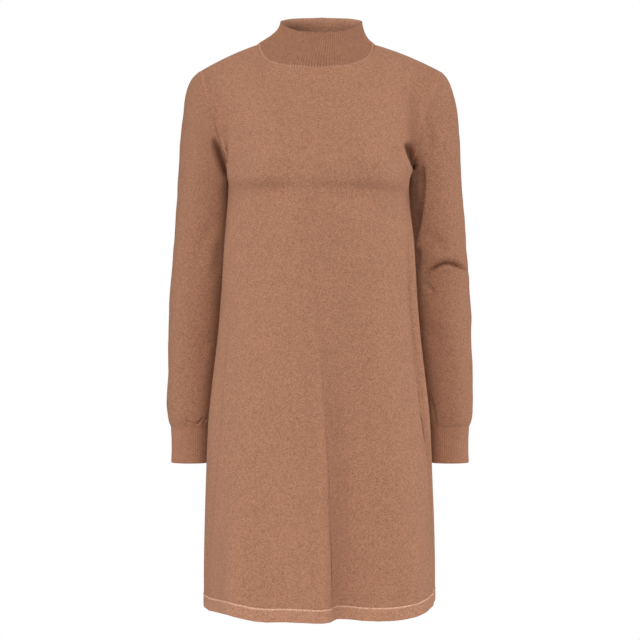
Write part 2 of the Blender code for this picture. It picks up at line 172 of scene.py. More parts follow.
SleeveRing = namedtuple("SleeveRing", "outer_x outer_z inner_x inner_z mid_y half_depth")
SLEEVE = table(
    SleeveRing,
    (0.1865, -0.0361, 0.1420, UNDERARM, 0.000, 0.0540),
    (0.1925, -0.0395, 0.1424, -0.1915, 0.003, 0.0550),
    (0.2012, -0.0475, 0.1412, -0.1960, 0.008, 0.0560),
    (0.2078, -0.0595, 0.1401, -0.2010, 0.013, 0.0570),
    (0.2130, -0.0775, 0.1392, -0.2080, 0.018, 0.0575),
    (0.2168, -0.1020, 0.1386, -0.2170, 0.023, 0.0575),
    (0.2197, -0.1320, 0.1384, -0.2290, 0.028, 0.0570),
    (0.2230, -0.1720, 0.1388, -0.2460, 0.033, 0.0560),
    (0.2260, -0.2180, 0.1398, -0.2680, 0.038, 0.0540),
    (0.2297, -0.2700, 0.1420, -0.3000, 0.043, 0.0510),
    (0.2340, -0.3200, 0.1450, -0.3380, 0.047, 0.0490),
    (0.2380, -0.3700, 0.1490, -0.3800, 0.050, 0.0470),
    (0.2408, -0.4200, 0.1540, -0.4250, 0.050, 0.0445),
    (0.2422, -0.4700, 0.1600, -0.4720, 0.050, 0.0415),
    (0.2428, -0.5200, 0.1660, -0.5200, 0.049, 0.0385),
    (0.2430, -0.5600, 0.1700, -0.5600, 0.048, 0.0355),
    (0.2410, -0.5850, 0.1720, -0.5850, 0.047, 0.0335),
    (0.2375, CUFF_TOP, 0.1745, CUFF_TOP, 0.047, 0.0300),
)
CUFF = table(
    namedtuple("CuffRing", "height outer_x inner_x mid_y half_depth"),
    (CUFF_TOP, 0.2375, 0.1745, 0.047, 0.0300),
    (-0.615, 0.2365, 0.1748, 0.047, 0.0292),
    (-0.635, 0.2362, 0.1750, 0.046, 0.0292),
    (CUFF_BOTTOM, 0.2368, 0.1748, 0.045, 0.0298),
)

# ---------------------------------------------------------------- creases and unevenness

# A crease runs from one point to another as seen from its side, bowed to the left of its way. It is
# raised where depth is positive. before and after are the widths to its left and right.
Crease = namedtuple("Crease", "side x z to_x to_z bow before after depth")
BODY_CREASES = table(
    Crease,
    # the edge where the front turns to the side
    (FRONT, -0.1300, -0.300, -0.1850, -1.000, -0.003, 0.0020, 0.0150, -0.0025),
    # under the bust
    (FRONT, -0.1600, -0.222, 0.1600, -0.232, -0.004, 0.0110, 0.0330, -0.0050),
    (FRONT, 0.0000, -0.227, 0.1650, -0.232, -0.001, 0.0100, 0.0220, -0.0036),
    (FRONT, -0.1480, -0.228, -0.0450, -0.232, -0.002, 0.0090, 0.0240, -0.0036),
    # where the cloth bunches at the underarms
    (FRONT, 0.1150, -0.150, 0.1440, -0.202, 0.000, 0.0035, 0.0120, 0.0050),
    (FRONT, -0.1500, -0.140, -0.1400, -0.212, -0.001, 0.0120, 0.0040, 0.0045),
    (BACK, 0.1250, -0.120, 0.1380, -0.200, 0.002, 0.0050, 0.0120, 0.0030),
    (BACK, -0.1200, -0.110, -0.1380, -0.200, -0.002, 0.0120, 0.0050, 0.0030),
    (BACK, 0.1380, -0.215, 0.0700, -0.245, 0.006, 0.0060, 0.0100, -0.0022),
    (BACK, -0.1380, -0.225, -0.0600, -0.262, -0.006, 0.0070, 0.0090, -0.0020),
    # soft folds over the small of the back
    (BACK, -0.0950, -0.380, 0.0550, -0.402, -0.014, 0.0120, 0.0200, -0.0020),
    (BACK, -0.0200, -0.440, 0.1100, -0.424, -0.008, 0.0100, 0.0180, -0.0014),
    (BACK, 0.0260, -0.520, 0.0140, -1.050, 0.006, 0.0260, 0.0100, -0.0045),
)
# Tucks at the underarms, pressed straight back into the body and the sleeve alike.
TUCKS = table(
    Crease,
    (FRONT, 0.1310, -0.156, 0.1440, -0.190, 0.000, 0.0070, 0.0020, -0.0260),
    (FRONT, -0.1610, -0.148, -0.1430, -0.202, 0.000, 0.0022, 0.0060, -0.0210),
)
RIGHT_SLEEVE_CREASES = table(
    Crease,
    # over the elbow
    (FRONT, 0.1680, -0.3570, 0.2330, -0.3520, 0.0140, 0.0070, 0.0014, -0.0115),
    (FRONT, 0.1680, -0.3590, 0.2330, -0.3550, 0.0140, 0.0014, 0.0100, 0.0030),
    (FRONT, 0.1600, -0.2900, 0.2000, -0.3240, 0.0030, 0.0100, 0.0120, -0.0038),
    (FRONT, 0.1540, -0.3150, 0.1500, -0.3480, 0.0000, 0.0050, 0.0040, -0.0050),
    (FRONT, 0.1640, -0.3700, 0.1780, -0.3840, 0.0010, 0.0040, 0.0040, -0.0030),
    (FRONT, 0.1520, -0.4300, 0.1900, -0.4700, 0.0040, 0.0110, 0.0090, -0.0022),
    # the fold under the arm
    (FRONT, 0.1590, -0.1900, 0.1430, -0.3120, 0.0040, 0.0040, 0.0260, -0.0190),
    (FRONT, 0.1640, -0.1180, 0.1720, -0.1620, 0.0000, 0.0090, 0.0070, -0.0030),
    # gathered at the cuff
    (FRONT, 0.1740, -0.5480, 0.1835, -0.6000, 0.0010, 0.0022, 0.0030, -0.0026),
    (FRONT, 0.2050, -0.5700, 0.2010, -0.6020, 0.0000, 0.0030, 0.0030, -0.0012),
    (BACK, 0.2300, -0.3300, 0.1700, -0.3500, 0.0100, 0.0060, 0.0100, -0.0042),
    (BACK, 0.2250, -0.3700, 0.1750, -0.3600, -0.0060, 0.0070, 0.0080, -0.0030),
    (BACK, 0.1600, -0.2100, 0.1900, -0.2600, 0.0040, 0.0080, 0.0100, -0.0032),
    (BACK, 0.1900, -0.5650, 0.1930, -0.6020, 0.0000, 0.0030, 0.0035, -0.0014),
    (BACK, 0.2150, -0.5600, 0.2120, -0.6020, 0.0000, 0.0028, 0.0028, -0.0012),
)
LEFT_SLEEVE_CREASES = table(
    Crease,
    (FRONT, -0.1640, -0.2720, -0.1960, -0.3420, -0.0030, 0.0100, 0.0120, -0.0034),
    (FRONT, -0.1560, -0.3000, -0.1660, -0.3560, 0.0020, 0.0060, 0.0080, -0.0030),
    (FRONT, -0.2280, -0.3560, -0.1800, -0.3660, 0.0060, 0.0080, 0.0050, -0.0016),
    (FRONT, -0.1700, -0.4450, -0.1900, -0.4950, -0.0020, 0.0080, 0.0110, -0.0018),
    # gathered at the cuff
    (FRONT, -0.2110, -0.5860, -0.1925, -0.5915, 0.0000, 0.0018, 0.0022, -0.0020),
    (FRONT, -0.1940, -0.5920, -0.1830, -0.5800, 0.0000, 0.0016, 0.0022, -0.0034),
    (FRONT, -0.1850, -0.5910, -0.1780, -0.5810, 0.0000, 0.0016, 0.0020, -0.0026),
    (FRONT, -0.2060, -0.5720, -0.2090, -0.6010, 0.0000, 0.0026, 0.0030, -0.0009),
    (BACK, -0.2300, -0.3250, -0.1700, -0.3450, -0.0100, 0.0080, 0.0060, -0.0042),
    (BACK, -0.2250, -0.3680, -0.1750, -0.3560, 0.0060, 0.0070, 0.0080, -0.0028),
    (BACK, -0.1600, -0.2150, -0.1950, -0.2700, -0.0040, 0.0080, 0.0100, -0.0030),
    (BACK, -0.1950, -0.5650, -0.1970, -0.6020, 0.0000, 0.0030, 0.0035, -0.0014),
    (BACK, -0.2200, -0.5600, -0.2170, -0.6020, 0.0000, 0.0026, 0.0026, -0.0012),
)

# Sharp folds down the front, each along one column of the cloth. To the right of a fold the cloth
# lies back by step, and comes forward again over width. The fold itself is a narrow groove.
PleatPoint = namedtuple("PleatPoint", "height x step groove")
MIDDLE_PLEAT = table(
    PleatPoint,
    (-0.270, -0.0115, 0.0000, 0.0000),
    (-0.395, -0.0060, 0.0020, 0.0000),
    (-0.547, 0.0055, 0.0050, 0.0000),
    (-0.659, 0.0125, 0.0075, 0.0012),
    (-0.757, 0.0155, 0.0085, 0.0017),
    (-0.854, 0.0184, 0.0085, 0.0014),
    (HEM, 0.0192, 0.0085, 0.0000),
)
SIDE_PLEAT = table(
    PleatPoint,
    (-0.240, 0.1300, 0.0000, 0.0000),
    (-0.304, 0.1322, 0.0030, 0.0000),
    (-0.396, 0.1350, 0.0060, 0.0004),
    (-0.457, 0.1402, 0.0095, 0.0012),
    (-0.518, 0.1487, 0.0130, 0.0020),
    (-0.564, 0.1540, 0.0155, 0.0028),
    (-0.610, 0.1608, 0.0160, 0.0030),
    (-0.671, 0.1680, 0.0135, 0.0018),
    (-0.732, 0.1725, 0.0075, 0.0004),
    (-0.800, 0.1755, 0.0025, 0.0000),
    (HEM, 0.1770, 0.0000, 0.0000),
)
PLEATS = table(namedtuple("Pleat", "points width"), (MIDDLE_PLEAT, 0.050), (SIDE_PLEAT, 0.028))
PLEAT_COLUMNS = (-0.0030, -0.0015, -0.0007, 0.0, 0.0007, 0.0015, 0.0030)
PLEAT_REACH = 0.24
PLEAT_EDGE = 0.0006
PLEAT_GROOVE = 0.0011

# Large soft lights, all turned to the middle of the dress.
LIGHTS = table(
    namedtuple("Light", "name x y z width height power"),
    ("left_light", -2.14, -1.80, 0.2, 1.0, 1.8, 18.0),
    ("left_side_light", -2.39, 0.21, 0.1, 1.0, 1.8, 15.0),
    ("right_light", 2.14, -1.80, 0.2, 1.0, 1.8, 5.0),
    ("right_side_light", 2.39, 0.21, 0.1, 1.0, 1.8, 33.0),
    ("high_light", 0.0, -2.5, 1.7, 2.0, 1.0, 68.0),
    ("top_light", 0.0, -0.6, 2.2, 2.0, 1.2, 9.0),
    ("low_light", 0.0, -0.9, -1.3, 1.2, 0.3, 2.6),
    ("back_light", 0.0, 2.8, 0.5, 1.2, 1.6, 38.0),
)

# How finely the cloth is worked, and how far from each seam its narrow rows lie.
CLOTH_STEP = 0.0030
CUFF_GATHER = 0.045
SEAM_ROWS = (0.0, 0.0006, 0.0013, 0.0021, 0.0031)
ROUNDING = 4
DENSE = 721
RELAX_PASSES = 417
RELAX_UP = 0.25
RELAX_ACROSS = 0.115

# Columns of a panel by the shoulder and by the neck, and rows of a cuff and of the collar.
PANEL_SIDE_COLUMNS = 30
PANEL_NECK_COLUMNS = 77
CUFF_ROWS = 22
COLLAR_RISES = (-0.018, 0.0, 0.02, 0.045, 0.07, *np.linspace(0.1, 1.0, 21))

# How close even columns come to a pleat's, which rows are halved at a cuff, and how far down the
# yoke looks for its climb.
PLEAT_CLEAR = 0.7 * CLOTH_STEP
GATHER_LEAST = 0.8 * CLOTH_STEP
CLIMB_STEP = 0.01

# Widths of the dip beside a seam and of the strip where creases fade, and the rounding of cut
# edges, as a share of the cloth's thickness.
SEAM_WIDTH = 0.0016
SEAM_MEETING = 0.003
PANEL_EDGE_SHARE = 0.25
BAND_EDGE_SHARE = 0.28

# The hem band has even rows, then narrow ones up to its ridge, and laps over the panel by some more.
BAND_HEIGHT = 0.0165
BAND_ROWS = 9
BAND_EDGE_ROWS = (0.0007, 0.0014, 0.0021, 0.0028)
BAND_LAP_ROWS = 3
BAND_BELLY = 0.0006
BEAD_LIFT = 0.0001
BEAD_WIDTH = 0.0014
# How strongly the hem ridge is painted paler, a painted highlight.
BEAD_LINKING_HIGHLIGHT = 0.8

# The collar's foot is rolled over its seam, and just above it the linked seam is painted paler, a painted
# highlight strongest on the rib crests.
COLLAR_FOOT = 0.0075
COLLAR_FOOT_DEPTH = 0.2
COLLAR_FOOT_ROLL = 0.0004
COLLAR_ROLL_WIDTH = 0.005
COLLAR_LINKING_HIGHLIGHT = 0.6
COLLAR_LINKING_HEIGHT = 0.0008
COLLAR_LINKING_WIDTH = 0.0022
VALLEY_LINKING_HIGHLIGHT = 0.3

# Soft unevenness of hanging knit, coarse and fine, and how far from the seams it fades out.
Wave = namedtuple("Wave", "depth size")
BODY_WAVES = table(Wave, (0.0016, 0.075), (0.0006, 0.028))
BODY_WAVE_FADE = 0.015
SLEEVE_WAVES = table(Wave, (0.0018, 0.060), (0.0007, 0.024))
SLEEVE_WAVE_FADE = 0.012
WAVE_SHIFT = (7.3, 3.1, 5.7)
WAVE_SEEDS = {"front": 1.0, "back": 2.0, "right": 3.0, "left": 4.0}

# Where creases start and end along their way, and how far a surface must face their side.
CREASE_START = (-0.12, 0.22)
CREASE_END = (0.78, 1.12)
CREASE_FACING = (-0.1, 0.25)
TUCK_FACING = (0.005, -0.020)

# A stitch of the armhole seam: its radii as shares of its length, and how it sits on the sleeve.
STITCH_SHAPE = (0.28, 0.5, 0.22)
STITCH_LEAN = 0.45
STITCH_ONTO_SLEEVE = 0.0012
STITCH_SUNK = 0.0004
STITCH_SUNK_UNDERARM = 0.0014
STITCH_UNDERARM = (-0.150, -0.120)
STITCH_LOOK = 0.01
ARMHOLE_POINTS = 1440

# The relief of one stitch's yarn.
LEAST_HEIGHT = 0.0001
LEG_ROUNDNESS = 0.6
LOOP_RELIEF = 0.55
YARN_ROUNDNESS = 0.7

# The noise of the dye: its grain, its coarser cast and the loose fibres.
MELANGE_LAYERS = table(namedtuple("Layer", "scale detail"), (430.0, 2.0), (34.0, 3.0), (2400.0, 1.0))
ROOM_MIDDLE = (0.0, 0.0, -0.42)

# ---------------------------------------------------------------- lines and curves


def column(rows, name):
    return [getattr(row, name) for row in rows]


def blend_weights(t):
    """Weights of a smooth curve's start, leaving direction, end and arriving direction."""
    keep = 2 * t**3 - 3 * t**2 + 1
    return keep, t**3 - 2 * t**2 + t, 1 - keep, t**3 - t**2


def spline(knots, values, at):
    """A smooth curve through the values, read at the given places."""
    knots, values = np.asarray(knots, float), np.asarray(values, float)
    if knots[0] > knots[-1]:
        knots, values = knots[::-1], values[::-1]
    slopes = np.gradient(values, knots)
    at = np.clip(at, knots[0], knots[-1])
    index = np.clip(np.searchsorted(knots, at, side="right") - 1, 0, len(knots) - 2)
    step = knots[index + 1] - knots[index]
    keep, leave, end, arrive = blend_weights((at - knots[index]) / step)
    return (keep * values[index] + leave * step * slopes[index]
            + end * values[index + 1] + arrive * step * slopes[index + 1])


def read(rows, key, name, at):
    """One column of a table as a smooth curve over its key column."""
    return spline(column(rows, key), column(rows, name), at)


def ease(start, end, at):
    """0 before the start, 1 after the end, and smooth between."""
    t = np.clip((at - start) / (end - start), 0.0, 1.0)
    return t * t * (3 - 2 * t)


def bell(offset, width, power=2):
    return np.exp(-((offset / width) ** power))


def signed_power(value, power):
    return np.sign(value) * np.abs(value) ** power


def run(points, axis=UP):
    """Lengths from the start of a line, or up or across a sheet."""
    steps = np.linalg.norm(np.diff(points, axis=axis), axis=-1)
    return np.insert(np.cumsum(steps, axis=axis), 0, 0.0, axis=axis)


def evenly(points, shares):
    """The points of a line at these shares of its length."""
    along = run(points)
    return np.stack([np.interp(shares, along / along[-1], points[:, axis]) for axis in range(3)], axis=1)


def unit(vectors):
    return vectors / np.linalg.norm(vectors, axis=-1, keepdims=True)


def with_seam_rows(length, first=True, last=True):
    """Places along a length, in metres, even in the middle and narrow beside a seam."""
    strip = np.array(SEAM_ROWS)
    start = strip[-1] if first else 0.0
    end = length - (strip[-1] if last else 0.0)
    middle = np.linspace(start, end, max(2, int(round((end - start) / CLOTH_STEP)) + 1))
    return np.concatenate((strip[:-1] if first else [], middle, length - strip[-2::-1] if last else []))


# ---------------------------------------------------------------- the torso and yoke


def round_torso(face, shares):
    """Places round the torso, 0 to 1 over the front and 1 to 2 over the back."""
    return shares if face == FRONT else shares + 1


def plain_section(face, height, shares):
    """One panel's half of the torso at a height, from its own left to its own right."""
    left, right, front, back, side_y = (
        read(TORSO, "height", name, height) for name in ("left", "right", "front", "back", "side_y"))
    turn = np.linspace(0.0, np.pi, DENSE)
    across = -signed_power(np.cos(turn), 2 / SQUARENESS)
    out = np.sin(turn) ** (2 / SQUARENESS)
    x = np.where(across < 0, across * left, across * right)
    y = side_y + ((front if face == FRONT else back) - side_y) * out
    points = np.stack([x, y, np.full(DENSE, float(height))], axis=1)
    return evenly(points[::-1] if face == BACK else points, shares)


def outwards(points):
    """Level directions square to a section's line, away from the torso."""
    along = unit(np.gradient(points, axis=0))
    return np.stack([along[:, 1], -along[:, 0], np.zeros(len(points))], axis=1)


def fold_depth(face, shares, height):
    """How far the skirt's folds stand out along a row."""
    total = np.zeros(len(shares))
    for fold in FOLDS:
        drop = np.clip((height - fold.start) / (HEM - fold.start), 0.0, 1.0)
        place = fold.across + (fold.across_hem - fold.across) * drop
        offset = (round_torso(face, shares) - place + 1) % 2 - 1
        depth = fold.depth + (fold.depth_hem - fold.depth) * ease(fold.full, HEM, height)
        width = np.where(offset < 0, fold.before, fold.after)
        total += ease(fold.start, fold.full, height) * depth * bell(offset, width)
    return total


def bust_depth(points):
    """How far the bust moves the front's points forward."""
    x, lift = points[:, 0], points[:, 2] - BUST_HEIGHT
    sides = bell(np.abs(x) - BUST_X, BUST_WIDTH) * bell(lift, np.where(lift > 0, BUST_RISE, BUST_FALL))
    bridge = BUST_BRIDGE * bell(x, BRIDGE_WIDTH) * bell(lift, np.where(lift > 0, BUST_RISE, BRIDGE_FALL))
    return BUST_DEPTH * (sides**4 + bridge**4) ** 0.25


def shaped(face, points):
    """The points with the bust, on the front."""
    points = points.copy()
    if face == FRONT:
        points[:, 1] -= bust_depth(points)
    return points


def skirt_row(face, height, shares):
    """One row of a panel below the underarm, folds and bust included."""
    plain = plain_section(face, height, shares)
    moved = plain + outwards(plain) * fold_depth(face, shares, height)[:, None]
    lift = np.interp(round_torso(face, shares), column(HEM_LIFTS, "around"), column(HEM_LIFTS, "lift"))
    moved[:, 2] += lift * (1 - ease(HEM, HEM + HEM_LIFT_REACH, height))
    return shaped(face, moved)


def from_front(angle):
    """Degrees from the middle front, either way round."""
    return np.degrees(np.abs((angle + np.pi) % (2 * np.pi) - np.pi))


def neck_point(angle):
    """Points of the neck seam. The angle runs from the middle front to the viewer's right."""
    middle_y = np.where(np.cos(angle) > 0, NECK_FRONT_Y, NECK_BACK_Y)
    x = NECK_X + NECK_HALF_WIDTH * np.sin(angle)
    y = NECK_SIDE_Y + (middle_y - NECK_SIDE_Y) * np.abs(np.cos(angle))
    return np.stack([x, y, read(NECK_LINE, "angle", "height", from_front(angle))], axis=-1)


def rim_point(angle):
    """Points of the collar's rim, by the same angle."""
    x = RIM_X + RIM_HALF_WIDTH * np.sin(angle)
    y = RIM_Y - RIM_HALF_DEPTH * np.cos(angle)
    return np.stack([x, y, read(RIM_LINE, "angle", "height", from_front(angle))], axis=-1)


def sleeve_ring(hand, ring, turns):
    """Points of a sleeve's ring. The turn runs from the outer point over the front."""
    outer = np.array([hand * ring.outer_x, ring.mid_y, ring.outer_z])
    inner = np.array([hand * ring.inner_x, ring.mid_y, ring.inner_z])
    along = signed_power(np.cos(turns), 2 / SQUARENESS)[:, None]
    forward = signed_power(np.sin(turns), 2 / SQUARENESS)[:, None]
    return (outer + inner) / 2 + along * (outer - inner) / 2 - forward * np.array([0.0, ring.half_depth, 0.0])


def shoulder_line(hand, shares):
    """The shoulder seam from the sleeve to the neck."""
    neck = neck_point(np.array(hand * np.pi / 2))
    tip = np.array([hand * SLEEVE[0].outer_x, SLEEVE[0].mid_y, SLEEVE[0].outer_z])
    points = tip + (neck - tip) * shares[:, None]
    reach = np.abs(points[:, 0] - neck[0])
    full = abs(tip[0] - neck[0])
    straight = (neck[2] - tip[2]) * reach / full
    curved = SHOULDER_SLOPE * reach + SHOULDER_DROP * reach**2
    curved *= (neck[2] - tip[2]) / (SHOULDER_SLOPE * full + SHOULDER_DROP * full**2)
    points[:, 2] += straight - curved
    return points


def top_line(face, shares):
    """A panel's upper edge, shoulder, neck and shoulder, with the direction it is reached in."""
    first = LEFT if face == FRONT else RIGHT
    share = SHOULDER_SHARE
    on_neck = np.clip((shares - share) / (1 - 2 * share), 0.0, 1.0)
    points = neck_point((on_neck - 0.5) * np.pi if face == FRONT else np.pi * (0.5 + on_neck))
    before, after = shares < share, shares > 1 - share
    points[before] = shoulder_line(first, shares[before] / share)
    points[after] = shoulder_line(-first, (1 - shares[after]) / share)
    over = np.array(ACROSS_SHOULDER) * -face
    up = np.array(UP_TO_FRONT_NECK if face == FRONT else UP_TO_BACK_NECK)
    blend = np.sin(np.pi * on_neck)[:, None]
    lean = NECK_CORNER_LEAN * bell(np.minimum(shares, 1 - shares) - share, NECK_CORNER_REACH)[:, None]
    inwards = -np.sign(points[:, :1]) * np.array([1.0, 0.0, 0.0]) + np.array([0.0, 0.0, SHOULDER_SLOPE])
    return points, unit(over * (1 - blend) + up * blend + inwards * lean)


def yoke_rows(face, shares, rises):
    """A panel's rows from the underarm to the shoulder and neck."""
    below = plain_section(face, UNDERARM, shares)
    climb = (below - plain_section(face, UNDERARM - CLIMB_STEP, shares)) / CLIMB_STEP
    top, reach = top_line(face, shares)
    length = YOKE_FULLNESS * np.linalg.norm(top - below, axis=1, keepdims=True)
    near_first = np.clip(1 - shares / ARMHOLE_REACH, 0.0, 1.0)[:, None] ** 2
    hands = (LEFT, RIGHT) if face == FRONT else (RIGHT, LEFT)
    rows = []
    for rise in rises:
        keep, leave, end, arrive = blend_weights(rise)
        row = keep * below + leave * length * climb + end * top + arrive * length * reach
        turn = np.array([np.pi * (1 - rise) * -face])
        first, last = (sleeve_ring(hand, SLEEVE[0], turn)[0] for hand in hands)
        row = row + near_first * (first - row[0]) + near_first[::-1] * (last - row[-1])
        rows.append(shaped(face, row))
    return rows


def relaxed(rows, fixed_below):
    """The rows evened out above those that stay fixed. The narrow strips along the seams stay too."""
    strip = len(SEAM_ROWS)
    first, sides = fixed_below, slice(strip, -strip)
    for _ in range(RELAX_PASSES):
        inner = rows[first:-strip, sides]
        across = rows[first:-strip, strip - 1:-strip - 1] + rows[first:-strip, strip + 1:-strip + 1]
        up = rows[first - 1:-strip - 1, sides] + rows[first + 1:-strip + 1, sides]
        rows[first:-strip, sides] = inner + RELAX_ACROSS * (across - 2 * inner) + RELAX_UP * (up - 2 * inner)
    return rows


def pleat_share(pleat, height=UNDERARM):
    """How far across the front a pleat lies at a height."""
    even = np.linspace(0.0, 1.0, DENSE)
    section = plain_section(FRONT, min(height, pleat.points[0].height), even)
    return float(np.interp(read(pleat.points, "height", "x", height), section[:, 0], even))


def panel_shares(face):
    """Places across a panel, with one at each corner of the neck and narrow ones at the pleats."""
    side = np.linspace(SEAM_ROWS[-1] / PANEL_WIDTH, SHOULDER_SHARE, PANEL_SIDE_COLUMNS)
    neck = np.linspace(SHOULDER_SHARE, 1 - SHOULDER_SHARE, PANEL_NECK_COLUMNS)
    strip = np.array(SEAM_ROWS[:-1]) / PANEL_WIDTH
    shares = np.concatenate((strip, side, neck[1:-1], 1 - side[::-1], 1 - strip[::-1]))
    for pleat in PLEATS if face == FRONT else ():
        columns = pleat_share(pleat) + np.array(PLEAT_COLUMNS) / PANEL_WIDTH
        clear = PLEAT_CLEAR / PANEL_WIDTH
        kept = (shares < columns[0] - clear) | (shares > columns[-1] + clear)
        shares = np.sort(np.concatenate((shares[kept], columns)))
    return shares


def along_pleats(face, height, shares):
    """The places across a row, moved so that the narrow columns run down the pleats."""
    moved = shares.copy()
    for pleat in PLEATS if face == FRONT else ():
        start = pleat_share(pleat)
        reach = ((start - PLEAT_REACH, start, min(start + PLEAT_REACH, 1.0)), (0.0, 1.0, 0.0))
        moved += (pleat_share(pleat, height) - start) * np.interp(shares, *reach)
    return moved


def pleated(rows, shares):
    """The front's rows pushed straight back at its pleats."""
    moved = rows.copy()
    across = run(rows, ACROSS)
    for pleat in PLEATS:
        line = int(np.argmin(np.abs(shares - pleat_share(pleat))))
        offset = across - across[:, line, None]
        heights = rows[:, line, 2, None]
        step, groove = (read(pleat.points, "height", name, heights) for name in ("step", "groove"))
        side = np.where(offset < 0, PLEAT_EDGE, pleat.width)
        moved[..., 1] += step * bell(offset, side) + groove * bell(offset, PLEAT_GROOVE)
    return moved


# ---------------------------------------------------------------- cloth from rows


def directions(rows, closed):
    """Outward directions of a surface given by its rows, lowest first and running to the right."""
    if closed:
        across = np.roll(rows, -1, axis=1) - np.roll(rows, 1, axis=1)
    else:
        across = np.gradient(rows, axis=1)
    return unit(np.cross(across, np.gradient(rows, axis=0)))


def crease_depth(points, normals, creases):
    """How far the creases move each point along its outward direction."""
    total = np.zeros(points.shape[:-1])
    for crease in creases:
        way = np.array([crease.to_x - crease.x, crease.to_z - crease.z])
        long = np.linalg.norm(way)
        way = way / long
        from_start = points[..., [0, 2]] - np.array([crease.x, crease.z])
        along = from_start @ way / long
        bow = crease.bow * 4 * along * (1 - along)
        offset = from_start @ np.array([-way[1], way[0]]) - bow * (along > 0) * (along < 1)
        taper = ease(*CREASE_START, along) * (1 - ease(*CREASE_END, along))
        facing = ease(*CREASE_FACING, normals[..., 1] * crease.side)
        width = np.where(offset > 0, crease.before, crease.after)
        total += facing * crease.depth * taper * bell(offset, width)
    return total


def tucked(points):
    """The points with the tucks at the underarms pressed in."""
    moved = points.copy()
    depth = crease_depth(points, np.array([0.0, FRONT, 0.0]), TUCKS)
    moved[..., 1] -= depth * ease(*TUCK_FACING, points[..., 1])
    return moved


def unevenness(points, waves, seed):
    """Soft unevenness of hanging knit: how far each point stands proud."""
    total = 0.0
    for layer, wave in enumerate(waves):
        shift = Vector([(seed + 10 * layer) * part for part in WAVE_SHIFT])
        places = (points.reshape(-1, 3) / wave.size).tolist()
        values = [noise.noise(Vector(place) + shift) for place in places]
        total = total + wave.depth * np.array(values).reshape(points.shape[:-1])
    return total


def deselect_all():
    bpy.ops.object.select_all(action="DESELECT")


def edit_all(operator, **settings):
    """Run an edit-mode operator on the whole of the active mesh."""
    bpy.ops.object.mode_set(mode="EDIT")
    bpy.ops.mesh.select_all(action="SELECT")
    operator(**settings)
    bpy.ops.object.mode_set(mode="OBJECT")


def apply_modifier(thing, name, kind, **settings):
    """Give a piece a modifier with these settings, and apply it."""
    modifier = thing.modifiers.new(name, kind)
    for key, value in settings.items():
        setattr(modifier, key, value)
    bpy.context.view_layer.objects.active = thing
    bpy.ops.object.modifier_apply(modifier=modifier.name)


def finish_piece(thing, name, node):
    """Name a piece, smooth it, and tell the frame where it belongs."""
    thing.name = name
    thing.data.name = name
    thing.data.shade_smooth()
    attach(thing, "root")
    if node:
        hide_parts(node)
    return thing


def grid_piece(rows, cloth, linking, materials):
    """A grid brought to these rows, with its Cloth map, its mask of painted highlight on linked seams, and
    outside and inside knit.
    """
    up, across = rows.shape[:2]
    deselect_all()
    bpy.ops.mesh.primitive_grid_add(x_subdivisions=across - 1, y_subdivisions=up - 1, size=1.0)
    thing = bpy.context.object
    mesh = thing.data
    mesh.vertices.foreach_set("co", rows.astype(np.float32).ravel())
    corner = np.zeros(len(mesh.loops), np.int32)
    mesh.loops.foreach_get("vertex_index", corner)
    mesh.uv_layers[0].name = "Cloth"
    mesh.uv_layers[0].data.foreach_set("uv", cloth.reshape(-1, 2)[corner].astype(np.float32).ravel())
    layer = mesh.attributes.new("linking", "FLOAT", "POINT")
    layer.data.foreach_set("value", linking.astype(np.float32).ravel())
    for material in materials:
        mesh.materials.append(material)
    mesh.update()
    return thing


def panel_piece(rows, cloth, linking, thickness, edge_share, materials):
    """A flat-cut panel: a grid brought to its rows, with a wall and rounded edges."""
    thing = grid_piece(rows, cloth, linking, materials)
    apply_modifier(thing, "Wall", "SOLIDIFY", thickness=thickness, offset=-1.0, material_offset=1,
                   material_offset_rim=0)
    apply_modifier(thing, "Rounded edge", "BEVEL", limit_method="ANGLE", angle_limit=np.radians(60),
                   width=thickness * edge_share, segments=3, use_clamp_overlap=False)
    return thing


def tube_piece(outer, inner, cloth, linking, thickness, materials):
    """A tube of cloth with rounded ends: a grid brought round its outside, rim, inside and rim."""
    up, around = outer.shape[:2]
    middle = (outer + inner) / 2
    out = unit(outer - inner)
    half = np.linalg.norm(outer - inner, axis=2, keepdims=True) / 2
    angles = np.linspace(0, np.pi, ROUNDING + 2)[1:-1]
    top_way, low_way = unit(outer[-1] - outer[-2]), unit(outer[0] - outer[1])
    top = [middle[-1] + half[-1] * (np.cos(a) * out[-1] + np.sin(a) * top_way) for a in angles]
    low = [middle[0] + half[0] * (-np.cos(a) * out[0] + np.sin(a) * low_way) for a in angles]
    loop = np.concatenate((outer, top, inner[::-1], low, outer[:1]))
    edge = np.array([0.0, thickness / 2])
    rim, foot = np.repeat(cloth[-1:] + edge, ROUNDING, 0), np.repeat(cloth[:1] - edge, ROUNDING, 0)
    cloth = np.concatenate((cloth, rim, cloth[::-1], foot, cloth[:1]))
    mark = np.concatenate((linking, np.repeat(linking[-1:], ROUNDING, 0), 0 * linking,
                           np.repeat(linking[:1], ROUNDING, 0), linking[:1]))
    loop, mark = (np.concatenate((part, part[:, :1]), axis=1) for part in (loop, mark))
    thing = grid_piece(loop, cloth, mark, materials)
    slots = np.zeros((len(loop) - 1, around), np.int32)
    slots[up + ROUNDING:2 * up + ROUNDING - 1] = 1
    thing.data.polygons.foreach_set("material_index", slots.ravel())
    edit_all(bpy.ops.mesh.remove_doubles, threshold=1e-6)
    return thing


# ---------------------------------------------------------------- knit materials


